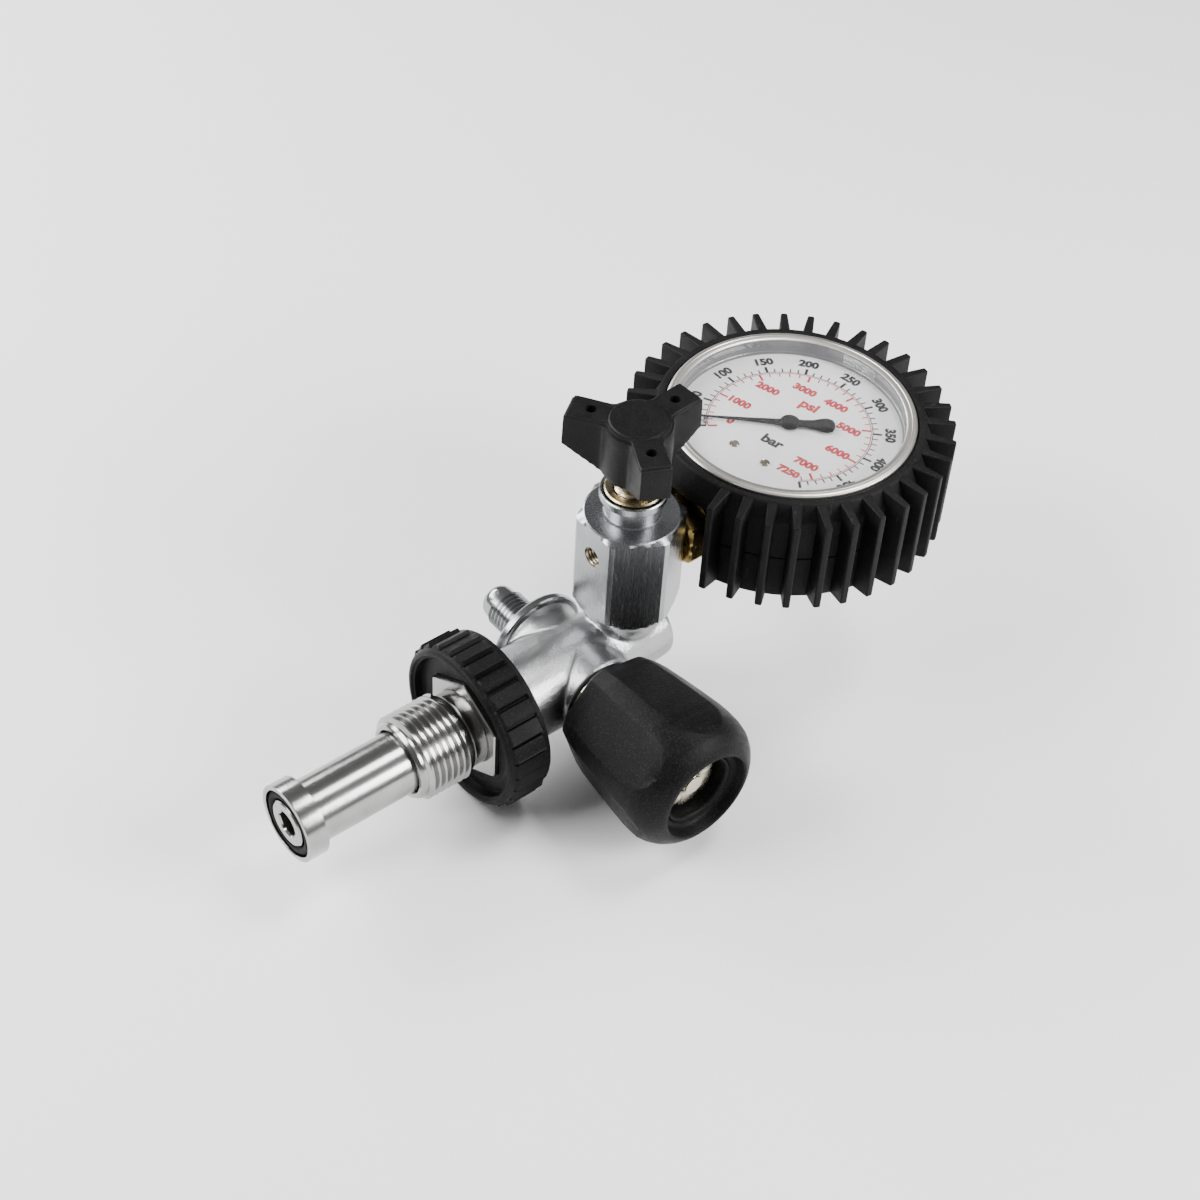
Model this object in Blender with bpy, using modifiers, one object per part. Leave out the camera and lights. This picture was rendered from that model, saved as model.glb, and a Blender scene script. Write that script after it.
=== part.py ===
"""Charging and test valve: a long spigot with a handwheel coupling, a cast valve body,
a shut-off knob, a bleed block with a three-lobed screw, and a pressure gauge in a boot.

Frame: origin at the centre of the spigot's front face, +X along the spigot into the
valve, +Y towards the small threaded outlet, +Z up along the bleed block."""
import math

import bmesh
import bpy
from mathutils import Matrix, Vector

MM = 0.001
GAP = 0.3 * MM                   # clearance left between touching pieces
FINE = 48                        # sides of a large turned piece
COARSE = 32                      # sides of a small turned piece

# ---- spigot and coupling, along X ----
HEAD_R = 10.2 * MM
HEAD_LENGTH = 5.5 * MM
STEM_R = 8.1 * MM
STEM_END = 71.5 * MM
SEAL_RECESS_R = 8.9 * MM
SEAL_RECESS_DEPTH = 2.0 * MM
SEAL_MAJOR_R = 7.65 * MM
SEAL_MINOR_R = 0.9 * MM
RETAINER_R = 6.3 * MM
RETAINER_SHANK_R = 4.7 * MM
RETAINER_SOCKET_R = 3.6 * MM
RETAINER_LENGTH = 6.6 * MM
SPIGOT_BORE_R = 2.5 * MM
FILTER_LENGTH = 9.0 * MM

THREAD_R = 11.45 * MM            # G5/8, 22.9 mm over the crests
THREAD_PITCH = 1.814 * MM
THREAD_DEPTH = 1.16 * MM
COUPLING_FRONT = 32.2 * MM
COUPLING_NECK = 47.6 * MM
HEX_FRONT = 51.6 * MM
HEX_BACK = 60.0 * MM
COUPLING_BACK = 62.6 * MM
HEX_CORNER_R = 14.6 * MM

WHEEL_FRONT = 50.1 * MM
WHEEL_BACK = 62.9 * MM
WHEEL_ROOT_R = 21.6 * MM
WHEEL_PAD_R = 22.4 * MM
WHEEL_PADS = 28
WHEEL_RECESS_R = 19.2 * MM
WHEEL_RECESS_DEPTH = 3.0 * MM
SLIP_WASHER_BACK = 64.3 * MM

# ---- valve body and its side fittings ----
VALVE_X = 85.0 * MM              # axis of the knob and the outlet
BODY_FRONT = 64.7 * MM
BODY_R = 12.4 * MM
BODY_BACK = 104.8 * MM
REAR_BOSS_R = 9.0 * MM
FLANGE_R = 13.2 * MM
FLANGE_NECK_R = 11.4 * MM
FLANGE_INNER = 12.2 * MM
FLANGE_OUTER = 14.6 * MM
BONNET_BOSS_R = 11.4 * MM
BONNET_BOSS_END = -13.2 * MM
SHORT_BORE_R = 8.3 * MM
SPIGOT_SOCKET_R = STEM_R + GAP
AIR_WAY_R = 2.6 * MM
OUTLET_R = 5.5 * MM
OUTLET_TIP = 31.6 * MM
OUTLET_ROOT = 7.0 * MM
OUTLET_PITCH = 1.27 * MM
OUTLET_THREADS = 8

# ---- shut-off knob, along -Y ----
KNOB_INNER = -15.2 * MM
KNOB_OUTER = -53.4 * MM
KNOB_MAX_R = 19.0 * MM
KNOB_SCALLOPS = 6
KNOB_MOUTH_R = 9.6 * MM
KNOB_POCKET_R = 8.6 * MM
KNOB_POCKET_FLOOR = -44.6 * MM
SPINDLE_R = 3.0 * MM
PLUG_R = 5.0 * MM

# ---- bleed block, along Z ----
BLOCK_X = 102.5 * MM
BLOCK_BOTTOM = 13.2 * MM
BLOCK_HEX_BOTTOM = 15.0 * MM
BLOCK_TOP = 44.4 * MM
BLOCK_FLAT = 12.1 * MM           # centre to flat
BLOCK_CORNER_R = 13.3 * MM       # corners are turned down to this
BLOCK_FOOT_R = 11.3 * MM
NECK_R = 6.9 * MM
NECK_TOP = 49.4 * MM
LIP_R = 8.4 * MM
LIP_TOP = 52.0 * MM
BLOCK_BORE_R = 6.05 * MM
VENT_Z = 35.7 * MM
VENT_R = 2.7 * MM
GAUGE_PORT_R = 6.3 * MM
UNION_R = 3.4 * MM
UNION_BOTTOM = 5.0 * MM
SEAT_BOSS_R = 10.2 * MM

BUSHING_TOP = 52.6 * MM
BUSHING_R = 7.3 * MM
BUSHING_BORE_R = 5.0 * MM
SCREW_R = 4.7 * MM
SCREW_PITCH = 1.5 * MM
SCREW_BOTTOM = 39.5 * MM
SCREW_TOP = 58.5 * MM

LOBES_TOP = 73.6 * MM
HUB_BOTTOM = 56.6 * MM
LOBE_TIP_R = 17.7 * MM
LOBE_UNDERSIDE_SLOPE = 0.6       # height gained per unit of radius
HUB_R = 6.4 * MM
LOBE_HOLE_R = 11.8 * MM
LOBE_FIRST_DEG = 124.0

# ---- gauge ----
GAUGE_X = 154.2 * MM
GAUGE_AXIS_Z = 31.0 * MM         # height of its connector
CASE_R = 30.6 * MM
CASE_WALL = 1.2 * MM
CASE_BOTTOM = 22.0 * MM
CASE_TOP = 47.7 * MM
BEZEL_R = 32.0 * MM
BEZEL_LIP_R = 29.2 * MM
BEZEL_BOTTOM = 43.0 * MM
BEZEL_TOP = 50.4 * MM
WINDOW_R = 31.2 * MM
DIAL_R = 28.9 * MM
DIAL_TOP = 45.6 * MM
DIAL_THICK = 0.6 * MM
POINTER_BOTTOM = 46.3 * MM
POINTER_LENGTH = 23.5 * MM
POINTER_TAIL = 11.5 * MM
POINTER_ZERO_DEG = 137.0
STOP_PIN_R = 21.4 * MM
DIAL_SCREW_R = 16.3 * MM
DIAL_SCREW_DEG = (169.5, 205.5)
GAUGE_NUT_FRONT = 115.0 * MM
GAUGE_NUT_BACK = 121.6 * MM
GAUGE_NUT_CORNER_R = 10.2 * MM
GAUGE_STEM_R = 5.6 * MM

PINION_TEETH = 10
SECTOR_RATIO = 7
SECTOR_TEETH = 9
GEAR_MODULE = 0.36 * MM
GEAR_BOTTOM = 40.6 * MM
GEAR_TOP = 41.8 * MM

BOOT_ROOT_R = 36.4 * MM
BOOT_FIN_R = 42.0 * MM
BOOT_BORE_R = BEZEL_R + GAP
BOOT_BOTTOM = 20.4 * MM
BOOT_TOP = 49.8 * MM
BOOT_FINS = 36
FIN_HALF_DEG = 1.35
BOOT_WINDOW_HALF = 11.0 * MM


# ---------------------------------------------------------------- helpers
def clear_scene():
    for old in list(bpy.data.objects):
        bpy.data.objects.remove(old, do_unlink=True)


def new_collection(name, parent):
    made = bpy.data.collections.new(name)
    parent.children.link(made)
    return made


clear_scene()
SCENE_ROOT = bpy.context.scene.collection
PARTS = new_collection("charging_test_valve", SCENE_ROOT)
CUTTERS = new_collection("cutters", SCENE_ROOT)


def material(name, colour, roughness, metallic):
    made = bpy.data.materials.get(name)
    if made is None:
        made = bpy.data.materials.new(name)
        made.use_nodes = True
        shader = made.node_tree.nodes["Principled BSDF"]
        shader.inputs["Base Color"].default_value = (*colour, 1.0)
        shader.inputs["Roughness"].default_value = roughness
        shader.inputs["Metallic"].default_value = metallic
    return made


def plated_steel():
    return material("plated_steel", (0.72, 0.72, 0.72), 0.18, 1.0)


def cast_chrome():
    return material("cast_chrome", (0.66, 0.67, 0.68), 0.3, 1.0)


def nickel():
    return material("nickel", (0.68, 0.64, 0.54), 0.25, 1.0)


def brass():
    return material("brass", (0.72, 0.53, 0.2), 0.28, 1.0)


def black_plastic():
    return material("black_plastic", (0.02, 0.02, 0.022), 0.5, 0.0)


def black_rubber():
    return material("black_rubber", (0.025, 0.025, 0.025), 0.7, 0.0)


def seal_rubber():
    return material("seal_rubber", (0.015, 0.015, 0.015), 0.45, 0.0)


def clear_glass():
    return material("clear_glass", (0.9, 0.93, 0.93), 0.05, 0.0)


def dial_white():
    return material("dial_white", (0.85, 0.85, 0.84), 0.5, 0.0)


def slip_plastic():
    return material("slip_plastic", (0.82, 0.81, 0.76), 0.45, 0.0)


def add_object(name, bm, made_of, smooth=True):
    """Turn a bmesh into a named object of the part."""
    bmesh.ops.recalc_face_normals(bm, faces=bm.faces)
    mesh = bpy.data.meshes.new(name)
    bm.to_mesh(mesh)
    bm.free()
    piece = bpy.data.objects.new(name, mesh)
    if made_of is None:
        CUTTERS.objects.link(piece)
        piece.hide_render = True
        piece.display_type = 'WIRE'
    else:
        PARTS.objects.link(piece)
        mesh.materials.append(made_of)
        if smooth:
            mesh.shade_smooth()
    return piece


def point_along(piece, axis, position):
    """Stand a piece that was made along +Z on another axis, at a position."""
    turns = {
        'Z': (0.0, 0.0, 0.0),
        'X': (0.0, math.pi / 2, 0.0),
        'Y': (-math.pi / 2, 0.0, 0.0),
        '-Y': (math.pi / 2, 0.0, 0.0),
    }
    piece.rotation_euler = turns[axis]
    piece.location = position
    return piece


def turned(name, outline, made_of, sides=FINE, closed=True):
    """Spin an outline of (radius, height) points, outer side downwards, about Z."""
    mesh = bpy.data.meshes.new(name)
    verts = [(radius, 0.0, height) for radius, height in outline]
    edges = [(i, i + 1) for i in range(len(verts) - 1)]
    if closed:
        edges.append((len(verts) - 1, 0))
    mesh.from_pydata(verts, edges, [])
    piece = bpy.data.objects.new(name, mesh)
    if made_of is None:
        CUTTERS.objects.link(piece)
        piece.hide_render = True
        piece.display_type = 'WIRE'
    else:
        PARTS.objects.link(piece)
        mesh.materials.append(made_of)
    spin = piece.modifiers.new("spin", 'SCREW')
    spin.axis = 'Z'
    spin.steps = sides
    spin.render_steps = sides
    spin.use_merge_vertices = True
    spin.merge_threshold = 0.00001
    spin.use_smooth_shade = True
    return piece


def rod(name, radius, low, high, made_of, sides=COARSE):
    """Plain round bar between two heights on Z."""
    bm = bmesh.new()
    middle = Matrix.Translation((0.0, 0.0, (low + high) / 2))
    bmesh.ops.create_cone(bm, cap_ends=True, segments=sides, radius1=radius,
                          radius2=radius, depth=high - low, matrix=middle)
    return add_object(name, bm, made_of)


def block(name, low, high, made_of):
    """Box between two corners."""
    bm = bmesh.new()
    size = Vector(high) - Vector(low)
    centre = (Vector(high) + Vector(low)) / 2
    place = Matrix.Translation(centre) @ Matrix.Diagonal((*size, 1.0))
    bmesh.ops.create_cube(bm, size=1.0, matrix=place)
    return add_object(name, bm, made_of, smooth=False)


def prism(name, outline, low, high, made_of):
    """Raise a flat outline of (x, y) points from one height to another."""
    curve = bpy.data.curves.new(name, 'CURVE')
    curve.dimensions = '2D'
    curve.fill_mode = 'BOTH'
    curve.extrude = (high - low) / 2
    spline = curve.splines.new('POLY')
    spline.points.add(len(outline) - 1)
    for point, (x, y) in zip(spline.points, outline):
        point.co = (x, y, 0.0, 1.0)
    spline.use_cyclic_u = True
    drawn = bpy.data.objects.new(name + "_drawn", curve)
    SCENE_ROOT.objects.link(drawn)
    view = bpy.context.evaluated_depsgraph_get()
    mesh = bpy.data.meshes.new_from_object(drawn.evaluated_get(view))
    bpy.data.objects.remove(drawn)
    bm = bmesh.new()
    bm.from_mesh(mesh)
    bmesh.ops.remove_doubles(bm, verts=bm.verts, dist=0.00001)
    bmesh.ops.dissolve_limit(bm, angle_limit=0.001, verts=bm.verts, edges=bm.edges)
    bmesh.ops.translate(bm, verts=bm.verts, vec=(0.0, 0.0, (low + high) / 2))
    return add_object(name, bm, made_of, smooth=False)


def polar(radius, degrees):
    angle = math.radians(degrees)
    return radius * math.cos(angle), radius * math.sin(angle)


def hexagon(corner_r, first_deg):
    return [polar(corner_r, first_deg + 60 * i) for i in range(6)]


def combine(piece, other, operation):
    step = piece.modifiers.new(operation.lower(), 'BOOLEAN')
    step.operation = operation
    step.solver = 'EXACT'
    step.object = other


def cut(piece, *cutters):
    for cutter in cutters:
        combine(piece, cutter, 'DIFFERENCE')


def unite(piece, *others):
    for other in others:
        combine(piece, other, 'UNION')


def keep_within(piece, envelope):
    combine(piece, envelope, 'INTERSECT')


def thread_outline(crest_r, depth, low, high, pitch):
    """Outer side of a threaded length, from the high end down, crests between roots."""
    points = []
    count = int((high - low) / pitch)
    for i in range(count):
        top = high - i * pitch
        points.append((crest_r - depth, top))
        points.append((crest_r, top - 0.5 * pitch))
    points.append((crest_r - depth, high - count * pitch))
    return points


# ---------------------------------------------------------------- spigot
def make_nipple_stem():
    outline = [
        (STEM_R, STEM_END),
        (STEM_R, HEAD_LENGTH + 0.6 * MM),
        (HEAD_R - 0.5 * MM, HEAD_LENGTH),
        (HEAD_R, HEAD_LENGTH - 0.5 * MM),
        (HEAD_R, 0.5 * MM),
        (HEAD_R - 0.5 * MM, 0.0),
        (SEAL_RECESS_R, 0.0),
        (SEAL_RECESS_R, SEAL_RECESS_DEPTH),
        (RETAINER_SHANK_R + GAP, SEAL_RECESS_DEPTH),
        (RETAINER_SHANK_R + GAP, RETAINER_LENGTH + GAP),
        (SPIGOT_BORE_R, RETAINER_LENGTH + GAP),
        (SPIGOT_BORE_R, STEM_END),
    ]
    stem = turned("nipple_stem", outline, plated_steel())
    point_along(stem, 'X', (0.0, 0.0, 0.0))


def make_face_o_ring():
    steps = 8
    centre = SEAL_RECESS_DEPTH - GAP - SEAL_MINOR_R
    outline = []
    for i in range(steps):
        radius, height = polar(SEAL_MINOR_R, 90 - 360 / steps * i)
        outline.append((SEAL_MAJOR_R + radius, centre + height))
    ring = turned("face_o_ring", outline, seal_rubber(), COARSE)
    point_along(ring, 'X', (0.0, 0.0, 0.0))


def make_nipple_retainer():
    head_back = SEAL_RECESS_DEPTH - GAP
    outline = [
        (0.0, RETAINER_LENGTH),
        (RETAINER_SHANK_R, RETAINER_LENGTH),
        (RETAINER_SHANK_R, head_back),
        (RETAINER_R, head_back),
        (RETAINER_R, 0.5 * MM),
        (RETAINER_R - 0.4 * MM, 0.1 * MM),
        (0.0, 0.1 * MM),
    ]
    retainer = turned("nipple_retainer", outline, plated_steel(), closed=False)
    socket = prism("retainer_socket", hexagon(RETAINER_SOCKET_R, 0),
                   -MM, RETAINER_LENGTH + MM, None)
    cut(retainer, socket)
    point_along(socket, 'X', (0.0, 0.0, 0.0))
    point_along(retainer, 'X', (0.0, 0.0, 0.0))


def make_inlet_filter():
    start = RETAINER_LENGTH + 2 * GAP
    outline = [
        (0.0, start + FILTER_LENGTH),
        (SPIGOT_BORE_R - 1.2 * MM, start + FILTER_LENGTH),
        (SPIGOT_BORE_R - GAP, start + 2 * MM),
        (SPIGOT_BORE_R - GAP, start),
        (0.0, start),
    ]
    sinter = turned("inlet_filter", outline, brass(), 24, closed=False)
    point_along(sinter, 'X', (0.0, 0.0, 0.0))


# ---------------------------------------------------------------- coupling
def make_coupling():
    bore = STEM_R + GAP
    outline = [(THREAD_R - 1.7 * MM, COUPLING_BACK)]
    outline += [(THREAD_R - 1.7 * MM, COUPLING_NECK)]
    outline += thread_outline(THREAD_R, THREAD_DEPTH, COUPLING_FRONT + 0.8 * MM,
                              COUPLING_NECK - 0.2 * MM, THREAD_PITCH)
    outline += [
        (THREAD_R - 1.2 * MM, COUPLING_FRONT),
        (bore, COUPLING_FRONT),
        (bore, COUPLING_BACK),
    ]
    coupling = turned("coupling", outline, plated_steel(), 40)
    nut = prism("coupling_hex", hexagon(HEX_CORNER_R, 0), HEX_FRONT, HEX_BACK, None)
    hole = rod("coupling_hex_hole", bore + 0.5 * MM, HEX_FRONT - MM, HEX_BACK + MM, None)
    cut(nut, hole)
    unite(coupling, nut)
    for piece in (coupling, nut, hole):
        point_along(piece, 'X', (0.0, 0.0, 0.0))


def wheel_outline():
    """Ratchet-like rim: each pad rises and drops to a narrow groove."""
    points = []
    pitch = 360 / WHEEL_PADS
    for i in range(WHEEL_PADS):
        start = i * pitch
        points.append(polar(WHEEL_ROOT_R - 0.4 * MM, start))
        points.append(polar(WHEEL_PAD_R, start + 0.12 * pitch))
        points.append(polar(WHEEL_PAD_R - 0.2 * MM, start + 0.86 * pitch))
    return points


def make_handwheel():
    wheel = prism("handwheel", wheel_outline(), WHEEL_FRONT, WHEEL_BACK, black_plastic())
    edge = 1.2 * MM
    chamfer = turned("wheel_envelope", [
        (0.0, WHEEL_BACK),
        (WHEEL_PAD_R - edge, WHEEL_BACK),
        (WHEEL_PAD_R + GAP, WHEEL_BACK - edge),
        (WHEEL_PAD_R + GAP, WHEEL_FRONT + edge),
        (WHEEL_PAD_R - edge, WHEEL_FRONT),
        (0.0, WHEEL_FRONT),
    ], None, closed=False)
    recess = rod("wheel_recess", WHEEL_RECESS_R, WHEEL_FRONT - MM,
                 WHEEL_FRONT + WHEEL_RECESS_DEPTH, None)
    pocket = prism("wheel_hex_pocket", hexagon(HEX_CORNER_R + GAP, 0),
                   WHEEL_FRONT, HEX_BACK + GAP, None)
    hole = rod("wheel_hole", THREAD_R - 1.7 * MM + GAP, WHEEL_FRONT, WHEEL_BACK + MM, None)
    keep_within(wheel, chamfer)
    cut(wheel, recess, pocket, hole)
    for piece in (wheel, chamfer, recess, pocket, hole):
        point_along(piece, 'X', (0.0, 0.0, 0.0))


def make_slip_washer():
    front = WHEEL_BACK + GAP
    outline = [
        (11.4 * MM, SLIP_WASHER_BACK),
        (11.4 * MM, front),
        (STEM_R + GAP, front),
        (STEM_R + GAP, SLIP_WASHER_BACK),
    ]
    washer = turned("slip_washer", outline, slip_plastic())
    point_along(washer, 'X', (0.0, 0.0, 0.0))


# ---------------------------------------------------------------- valve body
def make_valve_body():
    barrel = turned("valve_body", [
        (0.0, BODY_BACK),
        (REAR_BOSS_R - 0.8 * MM, BODY_BACK),
        (REAR_BOSS_R, BODY_BACK - 0.8 * MM),
        (REAR_BOSS_R + 0.8 * MM, BODY_BACK - 10 * MM),
        (BODY_R - 0.4 * MM, VALVE_X + 2 * MM),
        (BODY_R, VALVE_X - 10 * MM),
        (BODY_R, BODY_FRONT + 1 * MM),
        (BODY_R - 1 * MM, BODY_FRONT),
        (0.0, BODY_FRONT),
    ], cast_chrome(), closed=False)
    point_along(barrel, 'X', (0.0, 0.0, 0.0))

    cross = turned("body_cross", [
        (0.0, FLANGE_OUTER),
        (FLANGE_R - 0.5 * MM, FLANGE_OUTER),
        (FLANGE_R, FLANGE_OUTER - 0.5 * MM),
        (FLANGE_R, FLANGE_INNER + 0.4 * MM),
        (FLANGE_NECK_R, FLANGE_INNER - 1.2 * MM),
        (FLANGE_NECK_R - 0.4 * MM, 0.0),
        (BONNET_BOSS_R, -4 * MM),
        (BONNET_BOSS_R, BONNET_BOSS_END),
        (0.0, BONNET_BOSS_END),
    ], None, 44, closed=False)
    point_along(cross, 'Y', (VALVE_X, 0.0, 0.0))

    unite(barrel, cross)

    seat_boss = turned("body_seat_boss", [
        (0.0, BLOCK_BOTTOM - GAP),
        (SEAT_BOSS_R, BLOCK_BOTTOM - GAP),
        (SEAT_BOSS_R - 0.4 * MM, BLOCK_BOTTOM - 3 * MM),
        (5.0 * MM, 2 * MM),
        (0.0, 2 * MM),
    ], None, 28, closed=False)
    point_along(seat_boss, 'Z', (BLOCK_X, 0.0, 0.0))
    unite(barrel, seat_boss)

    spigot_socket = rod("body_spigot_socket", SPIGOT_SOCKET_R, BODY_FRONT - MM,
                        STEM_END + GAP, None)
    point_along(spigot_socket, 'X', (0.0, 0.0, 0.0))
    air_way = rod("body_air_way", AIR_WAY_R, STEM_END - MM, BLOCK_X, None, 16)
    point_along(air_way, 'X', (0.0, 0.0, 0.0))
    bonnet_bore = rod("body_bonnet_bore", SHORT_BORE_R, BONNET_BOSS_END - MM,
                      -3.2 * MM, None)
    point_along(bonnet_bore, 'Y', (VALVE_X, 0.0, 0.0))
    outlet_bore = rod("body_outlet_bore", OUTLET_R + GAP, OUTLET_ROOT - GAP,
                      FLANGE_OUTER + MM, None, 28)
    point_along(outlet_bore, 'Y', (VALVE_X, 0.0, 0.0))
    cross_way = rod("body_cross_way", AIR_WAY_R - 0.6 * MM, -4 * MM, OUTLET_ROOT, None, 16)
    point_along(cross_way, 'Y', (VALVE_X, 0.0, 0.0))
    union_bore = rod("body_union_bore", UNION_R + GAP, UNION_BOTTOM - GAP, 20 * MM, None, 26)
    point_along(union_bore, 'Z', (BLOCK_X, 0.0, 0.0))
    riser = rod("body_riser", 1.6 * MM, 0.0, UNION_BOTTOM + MM, None, 14)
    point_along(riser, 'Z', (BLOCK_X - 1.2 * MM, 0.0, 0.0))
    cut(barrel, spigot_socket, air_way, bonnet_bore, outlet_bore, cross_way, union_bore, riser)


def make_outlet_stub():
    tip = OUTLET_TIP
    thread_low = FLANGE_OUTER + 1.6 * MM
    thread_high = thread_low + OUTLET_THREADS * OUTLET_PITCH
    outline = [
        (2.6 * MM, tip),
        (4.0 * MM, tip - 1.0 * MM),
        (4.9 * MM, tip - 2.8 * MM),
    ]
    outline += thread_outline(OUTLET_R, 0.75 * MM, thread_low, thread_high, OUTLET_PITCH)
    outline += [
        (OUTLET_R, thread_low - 1.0 * MM),
        (OUTLET_R, OUTLET_ROOT),
        (1.7 * MM, OUTLET_ROOT),
        (1.7 * MM, tip),
    ]
    stub = turned("outlet_stub", outline, plated_steel(), 24)
    point_along(stub, 'Y', (VALVE_X, 0.0, 0.0))


# ---------------------------------------------------------------- shut-off knob
def make_valve_bonnet():
    outline = [
        (SHORT_BORE_R - GAP, -4.6 * MM),
        (SHORT_BORE_R - GAP, BONNET_BOSS_END - GAP),
        (BONNET_BOSS_R - 0.9 * MM, BONNET_BOSS_END - GAP),
        (BONNET_BOSS_R - 0.9 * MM, -19.5 * MM),
        (7.0 * MM, -20.5 * MM),
        (7.0 * MM, -26.0 * MM),
        (SPINDLE_R + GAP, -26.0 * MM),
        (SPINDLE_R + GAP, -10.5 * MM),
        (PLUG_R + GAP, -10.5 * MM),
        (PLUG_R + GAP, -4.6 * MM),
    ]
    bonnet = turned("valve_bonnet", outline, nickel())
    point_along(bonnet, 'Y', (VALVE_X, 0.0, 0.0))


def make_valve_plug():
    outline = [
        (0.0, -3.6 * MM),
        (PLUG_R - 0.8 * MM, -3.6 * MM),
        (PLUG_R, -4.4 * MM),
        (PLUG_R, -7.6 * MM),
        (0.0, -7.6 * MM),
    ]
    plug = turned("valve_plug", outline, slip_plastic(), 24, closed=False)
    point_along(plug, 'Y', (VALVE_X, 0.0, 0.0))


def make_valve_spindle():
    outline = [
        (0.0, -9.8 * MM),
        (SPINDLE_R, -9.8 * MM),
        (SPINDLE_R, -43.0 * MM),
        (SPINDLE_R - 0.5 * MM, -48.6 * MM),
        (0.0, -48.6 * MM),
    ]
    spindle = turned("valve_spindle", outline, nickel(), 24, closed=False)
    point_along(spindle, 'Y', (VALVE_X, 0.0, 0.0))


def knob_scallop(index):
    """Long shallow hollow down one side of the knob, round at its outer end."""
    bm = bmesh.new()
    bmesh.ops.create_uvsphere(bm, u_segments=12, v_segments=8, radius=1.0)
    bmesh.ops.scale(bm, vec=(5.2 * MM, 5.2 * MM, 26 * MM), verts=bm.verts)
    lean = Matrix.Rotation(math.radians(2.5), 4, 'Y')
    shift = Matrix.Translation((20.3 * MM, 0.0, -20 * MM))
    turn = Matrix.Rotation(math.radians(60 * index + 30), 4, 'Z')
    bmesh.ops.transform(bm, matrix=turn @ shift @ lean, verts=bm.verts)
    scallop = add_object(f"knob_scallop_{index}", bm, None)
    return point_along(scallop, 'Y', (VALVE_X, 0.0, 0.0))


def make_valve_knob():
    outline = [
        (13.6 * MM, KNOB_INNER),
        (15.2 * MM, KNOB_INNER - 1.6 * MM),
        (16.6 * MM, -21 * MM),
        (17.6 * MM, -28 * MM),
        (18.5 * MM, -37 * MM),
        (KNOB_MAX_R, -43 * MM),
        (18.6 * MM, -46.4 * MM),
        (17.2 * MM, -49.6 * MM),
        (14.6 * MM, -52.4 * MM),
        (12.4 * MM, KNOB_OUTER),
        (11.4 * MM, -53.0 * MM),
        (KNOB_MOUTH_R, -51.0 * MM),
        (KNOB_POCKET_R, -50.4 * MM),
        (KNOB_POCKET_R, KNOB_POCKET_FLOOR),
        (SPINDLE_R + GAP, KNOB_POCKET_FLOOR),
        (SPINDLE_R + GAP, -28.5 * MM),
        (11.6 * MM, -28.5 * MM),
        (11.6 * MM, KNOB_INNER),
    ]
    knob = turned("valve_knob", outline, black_plastic())
    point_along(knob, 'Y', (VALVE_X, 0.0, 0.0))
    cut(knob, *[knob_scallop(i) for i in range(KNOB_SCALLOPS)])


def make_knob_nut():
    inner = KNOB_POCKET_FLOOR - GAP
    outline = [
        (7.9 * MM, inner),
        (7.9 * MM, inner - 1.6 * MM),
        (7.4 * MM, inner - 2.1 * MM),
        (SPINDLE_R + GAP, inner - 2.1 * MM),
        (SPINDLE_R + GAP, inner),
    ]
    nut = turned("knob_nut", outline, nickel(), COARSE)
    point_along(nut, 'Y', (VALVE_X, 0.0, 0.0))


# ---------------------------------------------------------------- bleed block
def make_bleed_block():
    corner = BLOCK_FLAT / math.cos(math.radians(30))
    hexed = prism("bleed_block", hexagon(corner, 30), BLOCK_HEX_BOTTOM, BLOCK_TOP,
                  plated_steel())
    envelope = turned("block_envelope", [
        (0.0, BLOCK_TOP),
        (BLOCK_FLAT - 0.4 * MM, BLOCK_TOP),
        (BLOCK_CORNER_R, BLOCK_TOP - 0.9 * MM),
        (BLOCK_CORNER_R, BLOCK_HEX_BOTTOM + 2.2 * MM),
        (BLOCK_FLAT - 0.4 * MM, BLOCK_HEX_BOTTOM),
        (0.0, BLOCK_HEX_BOTTOM),
    ], None, closed=False)
    neck = turned("block_neck", [
        (0.0, LIP_TOP),
        (LIP_R - 0.3 * MM, LIP_TOP),
        (LIP_R, LIP_TOP - 0.4 * MM),
        (LIP_R, NECK_TOP + 0.4 * MM),
        (NECK_R, NECK_TOP),
        (NECK_R, BLOCK_TOP - MM),
        (0.0, BLOCK_TOP - MM),
    ], None, COARSE, closed=False)
    foot = rod("block_foot", BLOCK_FOOT_R, BLOCK_BOTTOM, BLOCK_HEX_BOTTOM + MM, None)
    bushing_seat = rod("block_bushing_seat", BUSHING_R + GAP, NECK_TOP + 0.4 * MM,
                       LIP_TOP + MM, None)
    screw_bore = rod("block_screw_bore", BLOCK_BORE_R, 34 * MM, LIP_TOP + MM, None)
    union_bore = rod("block_union_bore", UNION_R + GAP, BLOCK_BOTTOM - MM, 24 * MM, None)
    air_way = rod("block_air_way", AIR_WAY_R, 20 * MM, 36 * MM, None, 16)
    vent = rod("block_vent", VENT_R, -16 * MM, -2 * MM, None, 20)
    port = rod("block_gauge_port", GAUGE_PORT_R, 4.5 * MM, 16 * MM, None)
    keep_within(hexed, envelope)
    unite(hexed, neck, foot)
    cut(hexed, bushing_seat, screw_bore, union_bore, air_way, vent, port)
    for piece in (hexed, envelope, neck, foot, bushing_seat, screw_bore, union_bore, air_way):
        point_along(piece, 'Z', (BLOCK_X, 0.0, 0.0))
    point_along(vent, 'X', (BLOCK_X, 0.0, VENT_Z))
    point_along(port, 'X', (BLOCK_X, 0.0, GAUGE_AXIS_Z))


def make_block_union():
    outline = [
        (UNION_R, 23.5 * MM),
        (UNION_R, UNION_BOTTOM),
        (1.8 * MM, UNION_BOTTOM),
        (1.8 * MM, 23.5 * MM),
    ]
    union = turned("block_union", outline, plated_steel(), 24)
    point_along(union, 'Z', (BLOCK_X, 0.0, 0.0))


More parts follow.
